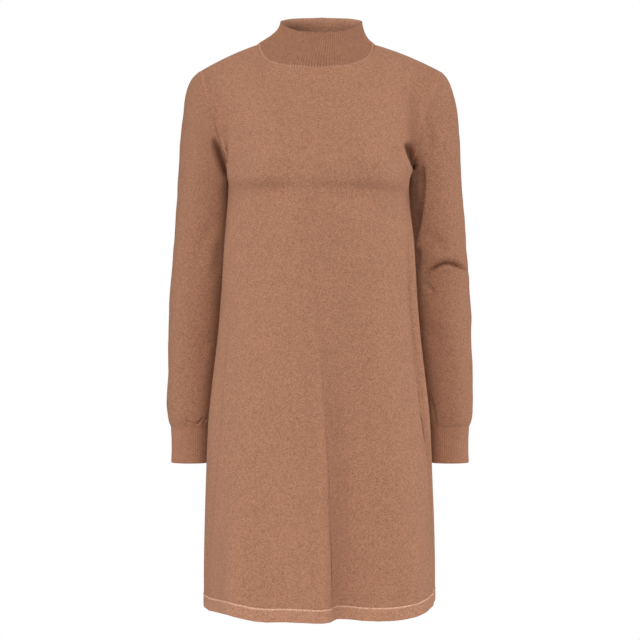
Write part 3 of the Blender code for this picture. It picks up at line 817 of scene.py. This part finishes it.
class Shading:
    """A node tree whose nodes are made and joined in short steps."""

    def __init__(self, tree):
        self.nodes, self.links = tree.nodes, tree.links

    def fill(self, sockets, values):
        """Give each socket another one's output, or a constant of its own."""
        for key, value in values.items():
            if isinstance(value, NodeSocket):
                self.links.new(value, sockets[key])
            else:
                sockets[key].default_value = value

    def add(self, kind, values=None, **settings):
        """A new node with these settings and inputs."""
        node = self.nodes.new("ShaderNode" + kind)
        for key, value in settings.items():
            setattr(node, key, value)
        self.fill(node.inputs, values or {})
        return node

    def math(self, operation, *values):
        """The result of a Math node fed with sockets or numbers."""
        return self.add("Math", dict(enumerate(values)), operation=operation).outputs[0]

    def arch(self, value):
        """A smooth hump as the value runs from 0 to 1."""
        return self.math("SINE", self.math("MULTIPLY", value, np.pi))


def new_group(name, inputs, outputs):
    """A node group with a vector and numbers going in, and numbers coming out."""
    group = bpy.data.node_groups.new(name, "ShaderNodeTree")
    group.interface.new_socket("Vector", in_out="INPUT", socket_type="NodeSocketVector")
    for label, value in inputs.items():
        socket = group.interface.new_socket(label, in_out="INPUT", socket_type="NodeSocketFloat")
        socket.default_value = value
    for label in outputs:
        group.interface.new_socket(label, in_out="OUTPUT", socket_type="NodeSocketFloat")
    given, made = (group.nodes.new("NodeGroup" + end) for end in ("Input", "Output"))
    return group, Shading(group), given.outputs, made.inputs


def knit_stitch_group():
    """Rows of knit stitches on a UV map in metres: each stitch is a V of two yarn legs. Its Yarn output
    darkens the colour where the relief is low, painted shade between the yarns.
    """
    name = "Knit stitches"
    if name in bpy.data.node_groups:
        return bpy.data.node_groups[name]
    group, shade, given, made = new_group(
        name, {"Wale": 0.0013, "Course": 0.0010, "Shift": 0.0, "Slant": 0.8, "Ribbing": 0.0},
        ("Height", "Yarn", "Stitch"))
    split = shade.add("SeparateXYZ", {0: given["Vector"]}).outputs
    wale = shade.math("ADD", shade.math("DIVIDE", split[0], given["Wale"]), given["Shift"])
    course = shade.math("DIVIDE", split[1], given["Course"])
    place = shade.math("FRACT", wale)
    from_middle = shade.math("ABSOLUTE", shade.math("MULTIPLY_ADD", place, 2.0, -1.0))
    rise = shade.math("MULTIPLY_ADD", from_middle, given["Slant"], course)
    leg = shade.math("POWER", shade.math("MAXIMUM", shade.arch(from_middle), LEAST_HEIGHT), LEG_ROUNDNESS)
    loop = shade.arch(shade.math("FRACT", rise))
    height = shade.math("MULTIPLY", leg, shade.math("MULTIPLY_ADD", loop, LOOP_RELIEF, 1 - LOOP_RELIEF))
    # Deep in each rib valley the yarn sinks, as relief and as painted shade, since the yarn's colour follows
    # this height.
    sunk = shade.math("MULTIPLY", shade.math("SUBTRACT", 1.0, shade.arch(place)), given["Ribbing"])
    height = shade.math("MULTIPLY", height, shade.math("SUBTRACT", 1.0, sunk))
    cell = shade.add("CombineXYZ", {0: shade.math("FLOOR", wale), 1: shade.math("FLOOR", rise)}).outputs[0]
    chance = shade.add("TexWhiteNoise", {"Vector": cell}, noise_dimensions="2D").outputs["Value"]
    yarn = shade.math("POWER", height, YARN_ROUNDNESS)
    shade.fill(made, {"Height": height, "Yarn": yarn, "Stitch": chance})
    return group


def melange_group():
    """Uneven dye and loose fibres: stitches lighter or darker by chance, a coarser cast, and fuzz."""
    name = "Melange"
    if name in bpy.data.node_groups:
        return bpy.data.node_groups[name]
    group, shade, given, made = new_group(
        name, {"Stitch": 0.5, "Speckle": 0.1, "Grain": 0.1, "Cast": 0.04}, ("Shade", "Fuzz"))
    layers = []
    for layer in MELANGE_LAYERS:
        inputs = {"Scale": layer.scale, "Detail": layer.detail, "Vector": given["Vector"]}
        layers.append(shade.math("SUBTRACT", shade.add("TexNoise", inputs).outputs[0], 0.5))
    grain, cast, fuzz = layers
    cast = shade.math("MULTIPLY_ADD", cast, given["Cast"], 1.0)
    grain = shade.math("MULTIPLY_ADD", grain, given["Grain"], cast)
    chance = shade.math("SUBTRACT", given["Stitch"], 0.5)
    shade.fill(made, {"Shade": shade.math("MULTIPLY_ADD", chance, given["Speckle"], grain), "Fuzz": fuzz})
    return group


def linear(colour):
    """Amounts of light from a colour as a screen shows it."""
    return [((share + 0.055) / 1.055) ** 2.4 for share in colour]


def new_material(name):
    """A material with its shading and its surface shader."""
    material = bpy.data.materials.new(name)
    material.use_nodes = True
    return material, Shading(material.node_tree), material.node_tree.nodes["Principled BSDF"]


def melange(shade, **inputs):
    """The dye's unevenness over the object."""
    place = shade.add("TexCoord").outputs["Object"]
    return shade.add("Group", {"Vector": place, **inputs}, node_tree=melange_group()).outputs


def matt_yarn(shade, surface, colour, dye, roughness, height, strength, distance):
    """Make a surface of yarn that hardly shines, in an uneven dye and with fine relief."""
    dyed = shade.add("VectorMath", {0: colour, "Scale": dye["Shade"]}, operation="SCALE").outputs[0]
    relief = shade.add("Bump", {"Strength": strength, "Distance": distance, "Height": height}).outputs[0]
    shade.fill(surface.inputs, {"Base Color": dyed, "Roughness": roughness, "Normal": relief,
                                "Specular IOR Level": 0.1, "Sheen Weight": 0.14})


def knit_material(name, colour, scene, shade_between=None, wale=None, speckle=0.56, relief=0.0005, **stitch):
    """Soft matt knit. Its stitches follow the Cloth UV map, and its dye varies over the object. Its colour is
    darkened between the yarns and in rib valleys as painted shade, and paled on linked seams as a painted
    highlight.
    """
    if name in bpy.data.materials:
        return bpy.data.materials[name]
    cloth, colours = scene.dress_cloth, scene.dress_colours
    material, shade, surface = new_material(name)
    lengths = shade.add("UVMap", uv_map="Cloth").outputs[0]
    stitch = {"Vector": lengths, "Wale": wale or cloth.wale, "Course": cloth.course, **stitch}
    stitches = shade.add("Group", stitch, node_tree=knit_stitch_group()).outputs
    dye = melange(shade, Stitch=stitches["Stitch"], Speckle=speckle, Grain=0.06, Cast=0.06)
    # The colours: painted shade between the yarns and in rib valleys, the yarn's own colour, and the linked
    # seams' painted highlight.
    dyes = (shade_between or colours.yarn_gap_painted_shade, colour, colours.linking_highlight_colour)
    deep, outer, linked = ((*linear(part), 1.0) for part in dyes)
    yarn = shade.add("Mix", {0: stitches["Yarn"], 6: deep, 7: outer}, data_type="RGBA").outputs[2]
    # Where the mask is set, the colour pales to a painted highlight.
    mark = shade.add("Attribute", attribute_name="linking").outputs["Fac"]
    yarn = shade.add("Mix", {0: mark, 6: yarn, 7: linked}, data_type="RGBA").outputs[2]
    roughness = shade.math("MULTIPLY_ADD", stitches["Height"], -0.12, 0.98)
    height = shade.math("MULTIPLY_ADD", dye["Fuzz"], 0.35, stitches["Height"])
    matt_yarn(shade, surface, yarn, dye, roughness, height, strength=0.6, distance=relief)
    shade.fill(surface.inputs, {"Sheen Roughness": 0.5, "Sheen Tint": (1.0, 0.66, 0.48, 1.0)})
    return material


def yarn_material(name, colour):
    """Twisted yarn with loose fibres, for the stitches that stand proud."""
    material, shade, surface = new_material(name)
    dye = melange(shade, Grain=0.9, Cast=0.2)
    matt_yarn(shade, surface, linear(colour), dye, 0.9, dye["Fuzz"], strength=0.5, distance=0.0002)
    return material


def plain_materials(scene, name="Plain knit", dye="plain_knit"):
    """The knit of a plain piece's outside, and the one inside that they all share."""
    colours = scene.dress_colours
    inside = knit_material("Plain knit inside", colours.plain_knit, scene, Slant=0.15)
    return knit_material(name, getattr(colours, dye), scene), inside


def rib_materials(scene, name, dye, valley_shade_and_relief):
    """The knit of a ribbed piece's outside and inside. The outside is darkened in its rib valleys as painted
    shade, and the inside is paler as painted light.
    """
    colours = scene.dress_colours
    fine = {"wale": scene.dress_cloth.rib, "speckle": 0.3, "relief": 0.0004}
    outside = knit_material(name, dye, scene, shade_between=colours.rib_valley_painted_shade, Shift=0.5, Ribbing=valley_shade_and_relief, **fine)
    # The inside of the collar and cuffs is painted paler than their outside: painted light for the light
    # reaching into the neck.
    inside = knit_material("Rib knit inside", colours.rib_inside_painted_light, scene, Slant=0.5, Ribbing=0.3, **fine)
    return outside, inside


# ---------------------------------------------------------------- the pieces


def near_seams(rows, width, closed):
    """How near each point is to the seam above it, and to those beside it or, on a tube, below it."""
    up = run(rows)
    above = bell(up[-1] - up, width)
    if closed:
        return above, bell(up, width)
    across = run(rows, ACROSS)
    return above, bell(np.minimum(across, across[:, -1:] - across), width)


def faded(rows, width, closed):
    """1 over the cloth, and 0 at the seams, so that pieces still meet there."""
    above, beside = near_seams(rows, width, closed)
    return (1 - beside) * (1 - above)


def hanging(rows, out, creases, waves, fade, seed, closed):
    """How far the creases and the soft unevenness stand proud of a piece's rows."""
    proud = crease_depth(rows, out, creases) * faded(rows, SEAM_MEETING, closed)
    return proud + unevenness(rows, waves, seed) * faded(rows, fade, closed)


def body_surface(face, side, scene):
    """The outside of the front or back with its hem band, its outward directions and knit lengths."""
    shares = panel_shares(face)
    band = np.concatenate((np.linspace(0.0, BAND_HEIGHT, BAND_ROWS), BAND_HEIGHT + np.array(BAND_EDGE_ROWS)))
    above_band = HEM_BAND_TOP + with_seam_rows(UNDERARM - HEM_BAND_TOP, last=False)
    heights = np.concatenate((HEM + band, above_band))
    rises = with_seam_rows(YOKE_LENGTH, first=False)[1:] / YOKE_LENGTH
    places = [along_pleats(face, height, shares) for height in heights]
    skirt = [skirt_row(face, height, place) for height, place in zip(heights, places)]
    rows = tucked(relaxed(np.array(skirt + yoke_rows(face, shares, rises)), len(heights)))
    rows = pleated(rows, shares) if face == FRONT else rows
    out = directions(rows, closed=False)
    creases = [crease for crease in BODY_CREASES if crease.side == face]
    proud = hanging(rows, out, creases, BODY_WAVES, BODY_WAVE_FADE, WAVE_SEEDS[side], closed=False)
    above, beside = near_seams(rows, SEAM_WIDTH, closed=False)
    on_shoulder = np.abs(shares - 0.5) > 0.5 - SHOULDER_SHARE
    proud -= scene.dress_cloth.seam_dip * np.maximum(on_shoulder * above, beside)
    across, up = run(rows, ACROSS), run(rows)
    places += [shares] * len(rises)
    middle = np.array([np.interp(0.5, place, row) for place, row in zip(places, across)])
    lengths = np.stack((across - middle[:, None], up - up[len(heights) - 1] - UNDERARM + HEM), axis=2)
    return rows + out * proud[..., None], out, lengths, len(band)


def body_panel(name, node, surface, scene):
    """The front or back from its hem band up."""
    thickness = scene.dress_cloth.knit_thickness
    rows, _, lengths, foot = surface
    thing = panel_piece(rows[foot:], lengths[foot:], np.zeros(rows[foot:].shape[:2]), thickness,
                        PANEL_EDGE_SHARE, plain_materials(scene))
    return finish_piece(thing, name, node)


def hem_band(name, node, surface, scene):
    """The turned hem, painted paler than the plain knit as painted light. Its top edge is linked over the
    panel's foot and stands up as a thin ridge.
    """
    cloth = scene.dress_cloth
    rows, out, lengths, foot = surface
    rows, out, lengths = (part[:foot + BAND_LAP_ROWS] for part in (rows, out, lengths))
    up = run(rows)
    bead = bell(up - up[foot] - BEAD_LIFT, BEAD_WIDTH)
    belly = BAND_BELLY * np.sin(np.pi * np.clip(up / up[foot], 0, 1)) ** 0.5
    rows = rows + out * (cloth.hem_ridge * bead + belly)[..., None]
    # The ridge is painted paler along its bead: a painted highlight.
    thing = panel_piece(rows, lengths, BEAD_LINKING_HIGHLIGHT * bead, cloth.hem_thickness, BAND_EDGE_SHARE,
                        plain_materials(scene, "Hem knit", "hem_knit"))
    return finish_piece(thing, name, node)


def turns_round(hand, count):
    """Angles once round an arm, from the outer point over the front."""
    return -hand * np.linspace(0.0, 2 * np.pi, count + 1)


def sleeve(name, node, side, hand, scene):
    """A set-in sleeve, with closer rows where it is gathered at the cuff."""
    cloth = scene.dress_cloth
    even = np.arange(len(SLEEVE))
    middles = np.array([[(ring.outer_x + ring.inner_x) / 2, ring.mid_y, (ring.outer_z + ring.inner_z) / 2]
                        for ring in SLEEVE])
    along = run(middles)
    places = with_seam_rows(along[-1])
    halfway = (places[1:] + places[:-1]) / 2
    near_cuff = (halfway > along[-1] - CUFF_GATHER) & (np.diff(places) > GATHER_LEAST)
    places = np.sort(np.concatenate((places, halfway[near_cuff])))
    turns = turns_round(hand, cloth.sleeve_columns)
    rows = [sleeve_ring(hand, SleeveRing(*(spline(even, values, at) for values in zip(*SLEEVE))), turns)
            for at in np.interp(places, along, even)]
    rows = np.array(rows)[::-1]
    lengths = np.stack((run(rows, ACROSS), run(rows)), axis=2)
    rows = tucked(rows[:, :-1])
    out = directions(rows, closed=True)
    creases = RIGHT_SLEEVE_CREASES if hand == RIGHT else LEFT_SLEEVE_CREASES
    proud = hanging(rows, out, creases, SLEEVE_WAVES, SLEEVE_WAVE_FADE, WAVE_SEEDS[side], closed=True)
    proud -= cloth.seam_dip * near_seams(rows, SEAM_WIDTH, closed=True)[0]
    outer = rows + out * proud[..., None]
    # The sleeves take a deeper colour than the body's: painted shade for the shade the body casts on them.
    thing = tube_piece(outer, outer - out * cloth.knit_thickness, lengths, np.zeros(rows.shape[:2]),
                       cloth.knit_thickness, plain_materials(scene, "Sleeve knit", "sleeve_knit_painted_shade"))
    return finish_piece(thing, name, node)


def ribbed(rows, out, ribs, depth, thickness):
    """A tube's outside and inside with ribs. The inside's ribs lie between the outside's."""
    wave = 0.5 * np.cos(2 * np.pi * np.arange(rows.shape[1]) * ribs / rows.shape[1])
    valley, inner_valley = ((depth * part)[..., None] for part in (0.5 - wave, 0.5 + wave))
    return rows - out * valley, rows - out * (thickness - inner_valley)


def rib_lengths(rows, width):
    """The knit lengths of a ribbed tube of this width laid flat."""
    across = np.repeat(np.linspace(0, width, rows.shape[1])[None], len(rows), 0)
    return np.stack((across, run(rows)), axis=2)


def cuff(name, node, hand, scene):
    """A ribbed cuff, linked to the end of its sleeve."""
    cloth = scene.dress_cloth
    turns = turns_round(hand, cloth.cuff_ribs * cloth.rib_columns)
    rows = []
    for height in np.linspace(CUFF_BOTTOM, CUFF_TOP, CUFF_ROWS):
        outer_x, inner_x, mid_y, half_depth = (
            read(CUFF, "height", key, height) for key in ("outer_x", "inner_x", "mid_y", "half_depth"))
        rows.append(sleeve_ring(hand, SleeveRing(outer_x, height, inner_x, height, mid_y, half_depth), turns))
    lengths = rib_lengths(np.array(rows), cloth.cuff_ribs * cloth.rib)
    rows = np.array(rows)[:, :-1]
    outer, inner = ribbed(rows, directions(rows, closed=True), cloth.cuff_ribs, cloth.cuff_rib_depth,
                          cloth.rib_thickness)
    thing = tube_piece(outer, inner, lengths, np.zeros(rows.shape[:2]), cloth.rib_thickness,
                       rib_materials(scene, "Cuff rib", scene.dress_colours.cuff_rib, 0.3))
    return finish_piece(thing, name, node)


def collar_rows(angles, rises):
    """The collar's surface from its seam up to its rim."""
    base, rim = neck_point(angles), rim_point(angles)
    length = np.linalg.norm(rim - base, axis=1, keepdims=True)
    side = np.abs(np.sin(angles)) ** COLLAR_SIDE_SPREAD
    lean_in = -COLLAR_LEAN_SIDE * side * np.sin(angles)
    lean_out = -COLLAR_LEAN_FRONT * np.cos(angles)
    leaving = unit(np.stack([lean_in, lean_out, 1.0 - COLLAR_SIDE_FLATNESS * side], axis=1))
    upright = np.ones(len(angles))
    arriving = unit(np.stack([-RIM_LEAN * np.sin(angles), 0.0 * upright, upright], axis=1))
    rows = []
    for rise in rises:
        keep, leave, end, arrive = blend_weights(rise)
        rows.append(keep * base + end * rim + leave * length * leaving + arrive * length * arriving)
    return np.array(rows)


def collar(name, node, scene):
    """The ribbed mock neck. Its foot rolls over the seam, and a painted highlight makes the linked seam above
    it paler, most on the rib crests.
    """
    cloth = scene.dress_cloth
    around = cloth.collar_ribs * cloth.rib_columns
    rows = collar_rows(np.linspace(-np.pi / 2, 3 * np.pi / 2, around + 1), COLLAR_RISES)
    lengths = rib_lengths(rows, cloth.collar_ribs * cloth.rib)
    rows = rows[:, :-1]
    out = directions(rows, closed=True)
    height = run(rows)
    depth = cloth.rib_depth * (1 + COLLAR_FOOT_DEPTH * bell(height, COLLAR_FOOT, 4))
    outer, inner = ribbed(rows, out, cloth.collar_ribs, depth, cloth.rib_thickness)
    outer = outer + out * (COLLAR_FOOT_ROLL * bell(height, COLLAR_ROLL_WIDTH))[..., None]
    crest = 0.5 + 0.5 * np.cos(2 * np.pi * np.arange(around) / cloth.rib_columns)
    # A painted highlight along the linked seam, paler on the rib crests than in the valleys.
    linking = COLLAR_LINKING_HIGHLIGHT * bell(height - COLLAR_LINKING_HEIGHT, COLLAR_LINKING_WIDTH)
    linking = linking * (VALLEY_LINKING_HIGHLIGHT + (1 - VALLEY_LINKING_HIGHLIGHT) * crest)
    # The collar's colour is deeper than the body's: painted shade for the shade on the collar.
    thing = tube_piece(outer, inner, lengths, linking, cloth.rib_thickness,
                       rib_materials(scene, "Collar rib", scene.dress_colours.collar_rib_painted_shade, 0.9))
    return finish_piece(thing, name, node)


def facing_with(vectors, ways):
    """The vectors, each reversed where it points against its way."""
    return vectors * np.sign(np.sum(vectors * ways, axis=1, keepdims=True))


def armhole_stitches(name, hand, scene):
    """The linked stitches over an armhole seam, one small rounded stitch copied along it."""
    cloth = scene.dress_cloth
    turns = np.linspace(0.0, 2 * np.pi, ARMHOLE_POINTS + 1)
    steps = run(sleeve_ring(hand, SLEEVE[0], turns))
    count = int(steps[-1] / cloth.stitch_pitch)
    at = np.interp((np.arange(count) + 0.5) * steps[-1] / count, steps, turns)
    place = sleeve_ring(hand, SLEEVE[0], at)
    before, after = (sleeve_ring(hand, SLEEVE[0], at + look) for look in (-STITCH_LOOK, STITCH_LOOK))
    along = unit(after - before)
    onto_sleeve = unit(sleeve_ring(hand, SLEEVE[1], at) - place)
    up = facing_with(unit(np.cross(along, onto_sleeve)), place - place.mean(axis=0))
    across = facing_with(np.cross(up, along), onto_sleeve)
    side = along * np.cos(STITCH_LEAN) + across * np.sin(STITCH_LEAN)
    forth = across * np.cos(STITCH_LEAN) - along * np.sin(STITCH_LEAN)
    sunk = STITCH_SUNK + STITCH_SUNK_UNDERARM * (1 - ease(*STITCH_UNDERARM, place[:, 2:]))
    centres = tucked(place + onto_sleeve * STITCH_ONTO_SLEEVE - up * sunk)

    deselect_all()
    bpy.ops.mesh.primitive_uv_sphere_add(segments=8, ring_count=6, radius=1.0)
    thing = bpy.context.object
    thing.scale = [cloth.stitch_length * share for share in STITCH_SHAPE]
    bpy.ops.object.transform_apply(location=False, rotation=False, scale=True)
    one = np.array([vertex.co for vertex in thing.data.vertices])
    axes = np.stack((side, forth, up), axis=1)
    points = centres[:, None] + one @ axes
    faces = [[corner + first for corner in face.vertices]
             for first in range(0, count * len(one), len(one)) for face in thing.data.polygons]
    many = bpy.data.meshes.new(name)
    many.from_pydata(points.reshape(-1, 3).tolist(), [], faces)
    single, thing.data = thing.data, many
    bpy.data.meshes.remove(single)
    edit_all(bpy.ops.mesh.normals_make_consistent, inside=False)
    # The stitches take the hem band's paler colour, a painted highlight.
    many.materials.append(yarn_material("Armhole yarn", scene.dress_colours.hem_knit))
    return finish_piece(thing, name, None)


# ---------------------------------------------------------------- sizes and colours to change


def measure(name, description, default, **limits):
    """A length to change, in metres."""
    return FloatProperty(name=name, description=description, default=default, unit="LENGTH", **limits)


def number(name, description, default, least):
    """A count to change."""
    return IntProperty(name=name, description=description, default=default, min=least)


def colour(name, description, default):
    """A colour to change, as a screen shows it."""
    return FloatVectorProperty(name=name, description=description, default=default, size=3,
                               subtype="COLOR_GAMMA", min=0.0, max=1.0)


class DressCloth(PropertyGroup):
    knit_thickness: measure("Knit thickness", "Thickness of the plain knit", 0.002, min=0.001, max=0.003)
    rib_thickness: measure("Rib thickness", "Thickness of the collar and cuffs", 0.0024, min=0.001, max=0.003)
    hem_thickness: measure("Hem thickness", "Thickness of the turned hem band", 0.003, min=0.001, max=0.003)
    wale: measure("Wale", "Width of one column of stitches", 0.0013, min=0.0005, max=0.01)
    course: measure("Course", "Height of one row of stitches", 0.0010, min=0.0005, max=0.01)
    rib: measure("Rib", "Width of one rib with its valley, laid flat", 0.0034, min=0.001, max=0.02)
    rib_depth: measure("Rib depth", "How far a rib stands above its valley", 0.0007, min=0.0, max=0.002)
    cuff_rib_depth: measure("Cuff rib depth", "How far a cuff's rib stands above its valley", 0.0004,
                            min=0.0, max=0.002)
    collar_ribs: number("Collar ribs", "Ribs round the collar", 124, 20)
    cuff_ribs: number("Cuff ribs", "Ribs round each cuff", 62, 10)
    rib_columns: number("Columns a rib", "Columns of faces on one rib", 8, 4)
    sleeve_columns: number("Sleeve columns", "Columns of faces round a sleeve", 140, 12)
    stitch_pitch: measure("Stitch pitch", "From one linked stitch to the next", 0.0026, min=0.001)
    stitch_length: measure("Stitch length", "Length of a linked stitch", 0.0022, min=0.0005)
    seam_dip: measure("Seam dip", "How far the cloth dips in at a seam", 0.0005, min=0.0, max=0.003)
    hem_ridge: measure("Hem ridge", "Height of the linked ridge over the hem", 0.0009, min=0.0, max=0.003)


class DressColours(PropertyGroup):
    plain_knit: colour("Plain knit", "Colour of the front and back", (0.688, 0.498, 0.396))
    # Painted shade: the sleeves' colour is deeper than the plain knit's, for the shade the body casts on
    # them.
    sleeve_knit_painted_shade: colour("Sleeve knit", "Colour of the sleeves, a shade deeper", (0.655, 0.470, 0.371))
    # Painted shade: the collar's colour is deeper than the plain knit's, for the shade on the collar.
    collar_rib_painted_shade: colour("Collar rib", "Colour of the collar", (0.645, 0.459, 0.361))
    cuff_rib: colour("Cuff rib", "Colour of the cuffs", (0.68, 0.486, 0.384))
    # Painted shade: the colour deep in the rib valleys stands in for the shade there.
    rib_valley_painted_shade: colour("Rib valley painted shade", "Colour deep between the ribs", (0.49, 0.34, 0.26))
    # Painted light: the rib's inside is paler than its outside, for the light reaching into the neck.
    rib_inside_painted_light: colour("Rib inside painted light", "Colour of the inside of the rib", (0.85, 0.64, 0.525))
    # Painted light: the hem band is paler than the plain knit of the same yarn.
    hem_knit: colour("Hem knit", "Colour of the hem band", (0.738, 0.544, 0.440))
    # Painted highlight: the linked seams are painted paler where their stitches catch light.
    linking_highlight_colour: colour("Linked seam painted highlight", "Colour of the linked seams", (0.92, 0.74, 0.63))
    # Painted shade: the colour deep between the stitches stands in for the shade there.
    yarn_gap_painted_shade: colour("Painted shade between yarns", "Colour deep between the stitches", (0.545, 0.375, 0.283))


class DressStage(PropertyGroup):
    floor_height: measure("Floor height", "Height of the floor under the hem", -1.40)
    camera_distance: measure("Camera distance", "From the camera to the dress", 3.0, min=0.5)
    camera_height: measure("Camera height", "Height of the camera", -0.4265)
    focal_length: FloatProperty(name="Focal length", description="Focal length in millimetres", default=107.6)
    room_light: FloatProperty(name="Room light", description="Strength of the even light all round",
                              default=0.155, min=0.0)


# ---------------------------------------------------------------- operators


class DRESS_OT_body(Operator):
    """Make the front and back panels with their turned hem bands"""

    bl_idname = "dress.body"
    bl_label = "Body and hem"

    def execute(self, context):
        for side, face, wide in (("front", FRONT, 0.50), ("back", BACK, 0.48)):
            surface = body_surface(face, side, context.scene)
            panel = body_panel(side + "_panel", side, surface, context.scene)
            band = hem_band(side + "_hem_band", "hem_" + side, surface, context.scene)
        return {"FINISHED"}


class DRESS_OT_sleeves(Operator):
    """Make both set-in sleeves"""

    bl_idname = "dress.sleeves"
    bl_label = "Sleeves"

    def execute(self, context):
        for side, hand in (("left", LEFT), ("right", RIGHT)):
            made = sleeve(side + "_sleeve", "sleeve_" + side, side, hand, context.scene)
            stitches = armhole_stitches(side + "_armhole_stitches", hand, context.scene)
        return {"FINISHED"}


class DRESS_OT_cuffs(Operator):
    """Make both ribbed cuffs"""

    bl_idname = "dress.cuffs"
    bl_label = "Cuffs"

    def execute(self, context):
        for side, hand in (("left", LEFT), ("right", RIGHT)):
            made = cuff(side + "_cuff", "cuff_" + side, hand, context.scene)
        return {"FINISHED"}


class DRESS_OT_collar(Operator):
    """Make the ribbed mock-neck collar"""

    bl_idname = "dress.collar"
    bl_label = "Collar"

    def execute(self, context):
        made = collar("mock_collar", "collar", context.scene)
        return {"FINISHED"}


def choose_whiter(shade, lighting, seen, output):
    """One shader lights the dress, and another is what the camera sees of the empty room."""
    path = shade.add("LightPath").outputs["Is Camera Ray"]
    chosen = shade.add("MixShader", {0: path, 1: lighting.outputs[0], 2: seen.outputs[0]})
    shade.fill(shade.nodes[output].inputs, {"Surface": chosen.outputs[0]})


class DRESS_OT_stage(Operator):
    """Make the floor, the lights and the camera"""

    bl_idname = "dress.stage"
    bl_label = "Stage"

    def execute(self, context):
        scene, stage = context.scene, context.scene.dress_stage
        deselect_all()
        bpy.ops.mesh.primitive_plane_add(size=40.0, location=(0.0, 0.0, stage.floor_height))
        floor = context.object
        floor.name = "floor"
        pale, shade, surface = new_material("Pale floor")
        shade.fill(surface.inputs, {"Base Color": (0.92, 0.92, 0.92, 1.0), "Roughness": 0.9})
        choose_whiter(shade, surface, shade.add("Emission"), "Material Output")
        floor.data.materials.append(pale)

        scene.world = bpy.data.worlds.new("Pale room")
        scene.world.use_nodes = True
        shade = Shading(scene.world.node_tree)
        seen = shade.nodes["Background"]
        shade.fill(seen.inputs, {"Color": (1.0, 1.0, 1.0, 1.0), "Strength": 1.0})
        lighting = shade.add("Background", {"Color": (1.0, 0.99, 0.98, 1.0), "Strength": stage.room_light})
        choose_whiter(shade, lighting, seen, "World Output")

        for light in LIGHTS:
            place = Vector((light.x, light.y, light.z))
            bpy.ops.object.light_add(type="AREA", location=place)
            lamp = context.object
            lamp.name = light.name
            lamp.data.shape = "RECTANGLE"
            lamp.data.size, lamp.data.size_y, lamp.data.energy = light.width, light.height, light.power
            lamp.rotation_euler = (Vector(ROOM_MIDDLE) - place).to_track_quat("-Z", "Y").to_euler()

        bpy.ops.object.camera_add(location=(0.0, -stage.camera_distance, stage.camera_height),
                                  rotation=(np.pi / 2, 0.0, 0.0))
        scene.camera = context.object
        scene.camera.data.lens = stage.focal_length
        scene.camera.data.sensor_width = 36.0
        scene.view_settings.view_transform = "Standard"
        return {"FINISHED"}


class DRESS_PT_sidebar(Panel):
    """Lists the dress's pieces, sizes and colours"""

    bl_idname = "DRESS_PT_sidebar"
    bl_label = "Sweater dress"
    bl_space_type = "VIEW_3D"
    bl_region_type = "UI"
    bl_category = "Dress"

    def draw(self, context):
        for group in (getattr(context.scene, name) for name, _ in GROUPS):
            box = self.layout.box()
            for name in group.bl_rna.properties.keys():
                if name not in ("rna_type", "name"):
                    box.prop(group, name)
        for operator in OPERATORS:
            self.layout.operator(operator.bl_idname)


GROUPS = (("dress_cloth", DressCloth), ("dress_colours", DressColours), ("dress_stage", DressStage))
OPERATORS = (DRESS_OT_body, DRESS_OT_sleeves, DRESS_OT_cuffs, DRESS_OT_collar, DRESS_OT_stage)


def register():
    for name, group in GROUPS:
        bpy.utils.register_class(group)
        setattr(bpy.types.Scene, name, PointerProperty(type=group))
    for kind in (*OPERATORS, DRESS_PT_sidebar):
        bpy.utils.register_class(kind)


def unregister():
    for kind in (DRESS_PT_sidebar, *reversed(OPERATORS)):
        bpy.utils.unregister_class(kind)
    for name, group in reversed(GROUPS):
        delattr(bpy.types.Scene, name)
        bpy.utils.unregister_class(group)


def main():
    register()
    bpy.ops.dress.body()
    bpy.ops.dress.sleeves()
    bpy.ops.dress.cuffs()
    bpy.ops.dress.collar()
    bpy.ops.dress.stage()


if __name__ == "__main__":
    main()
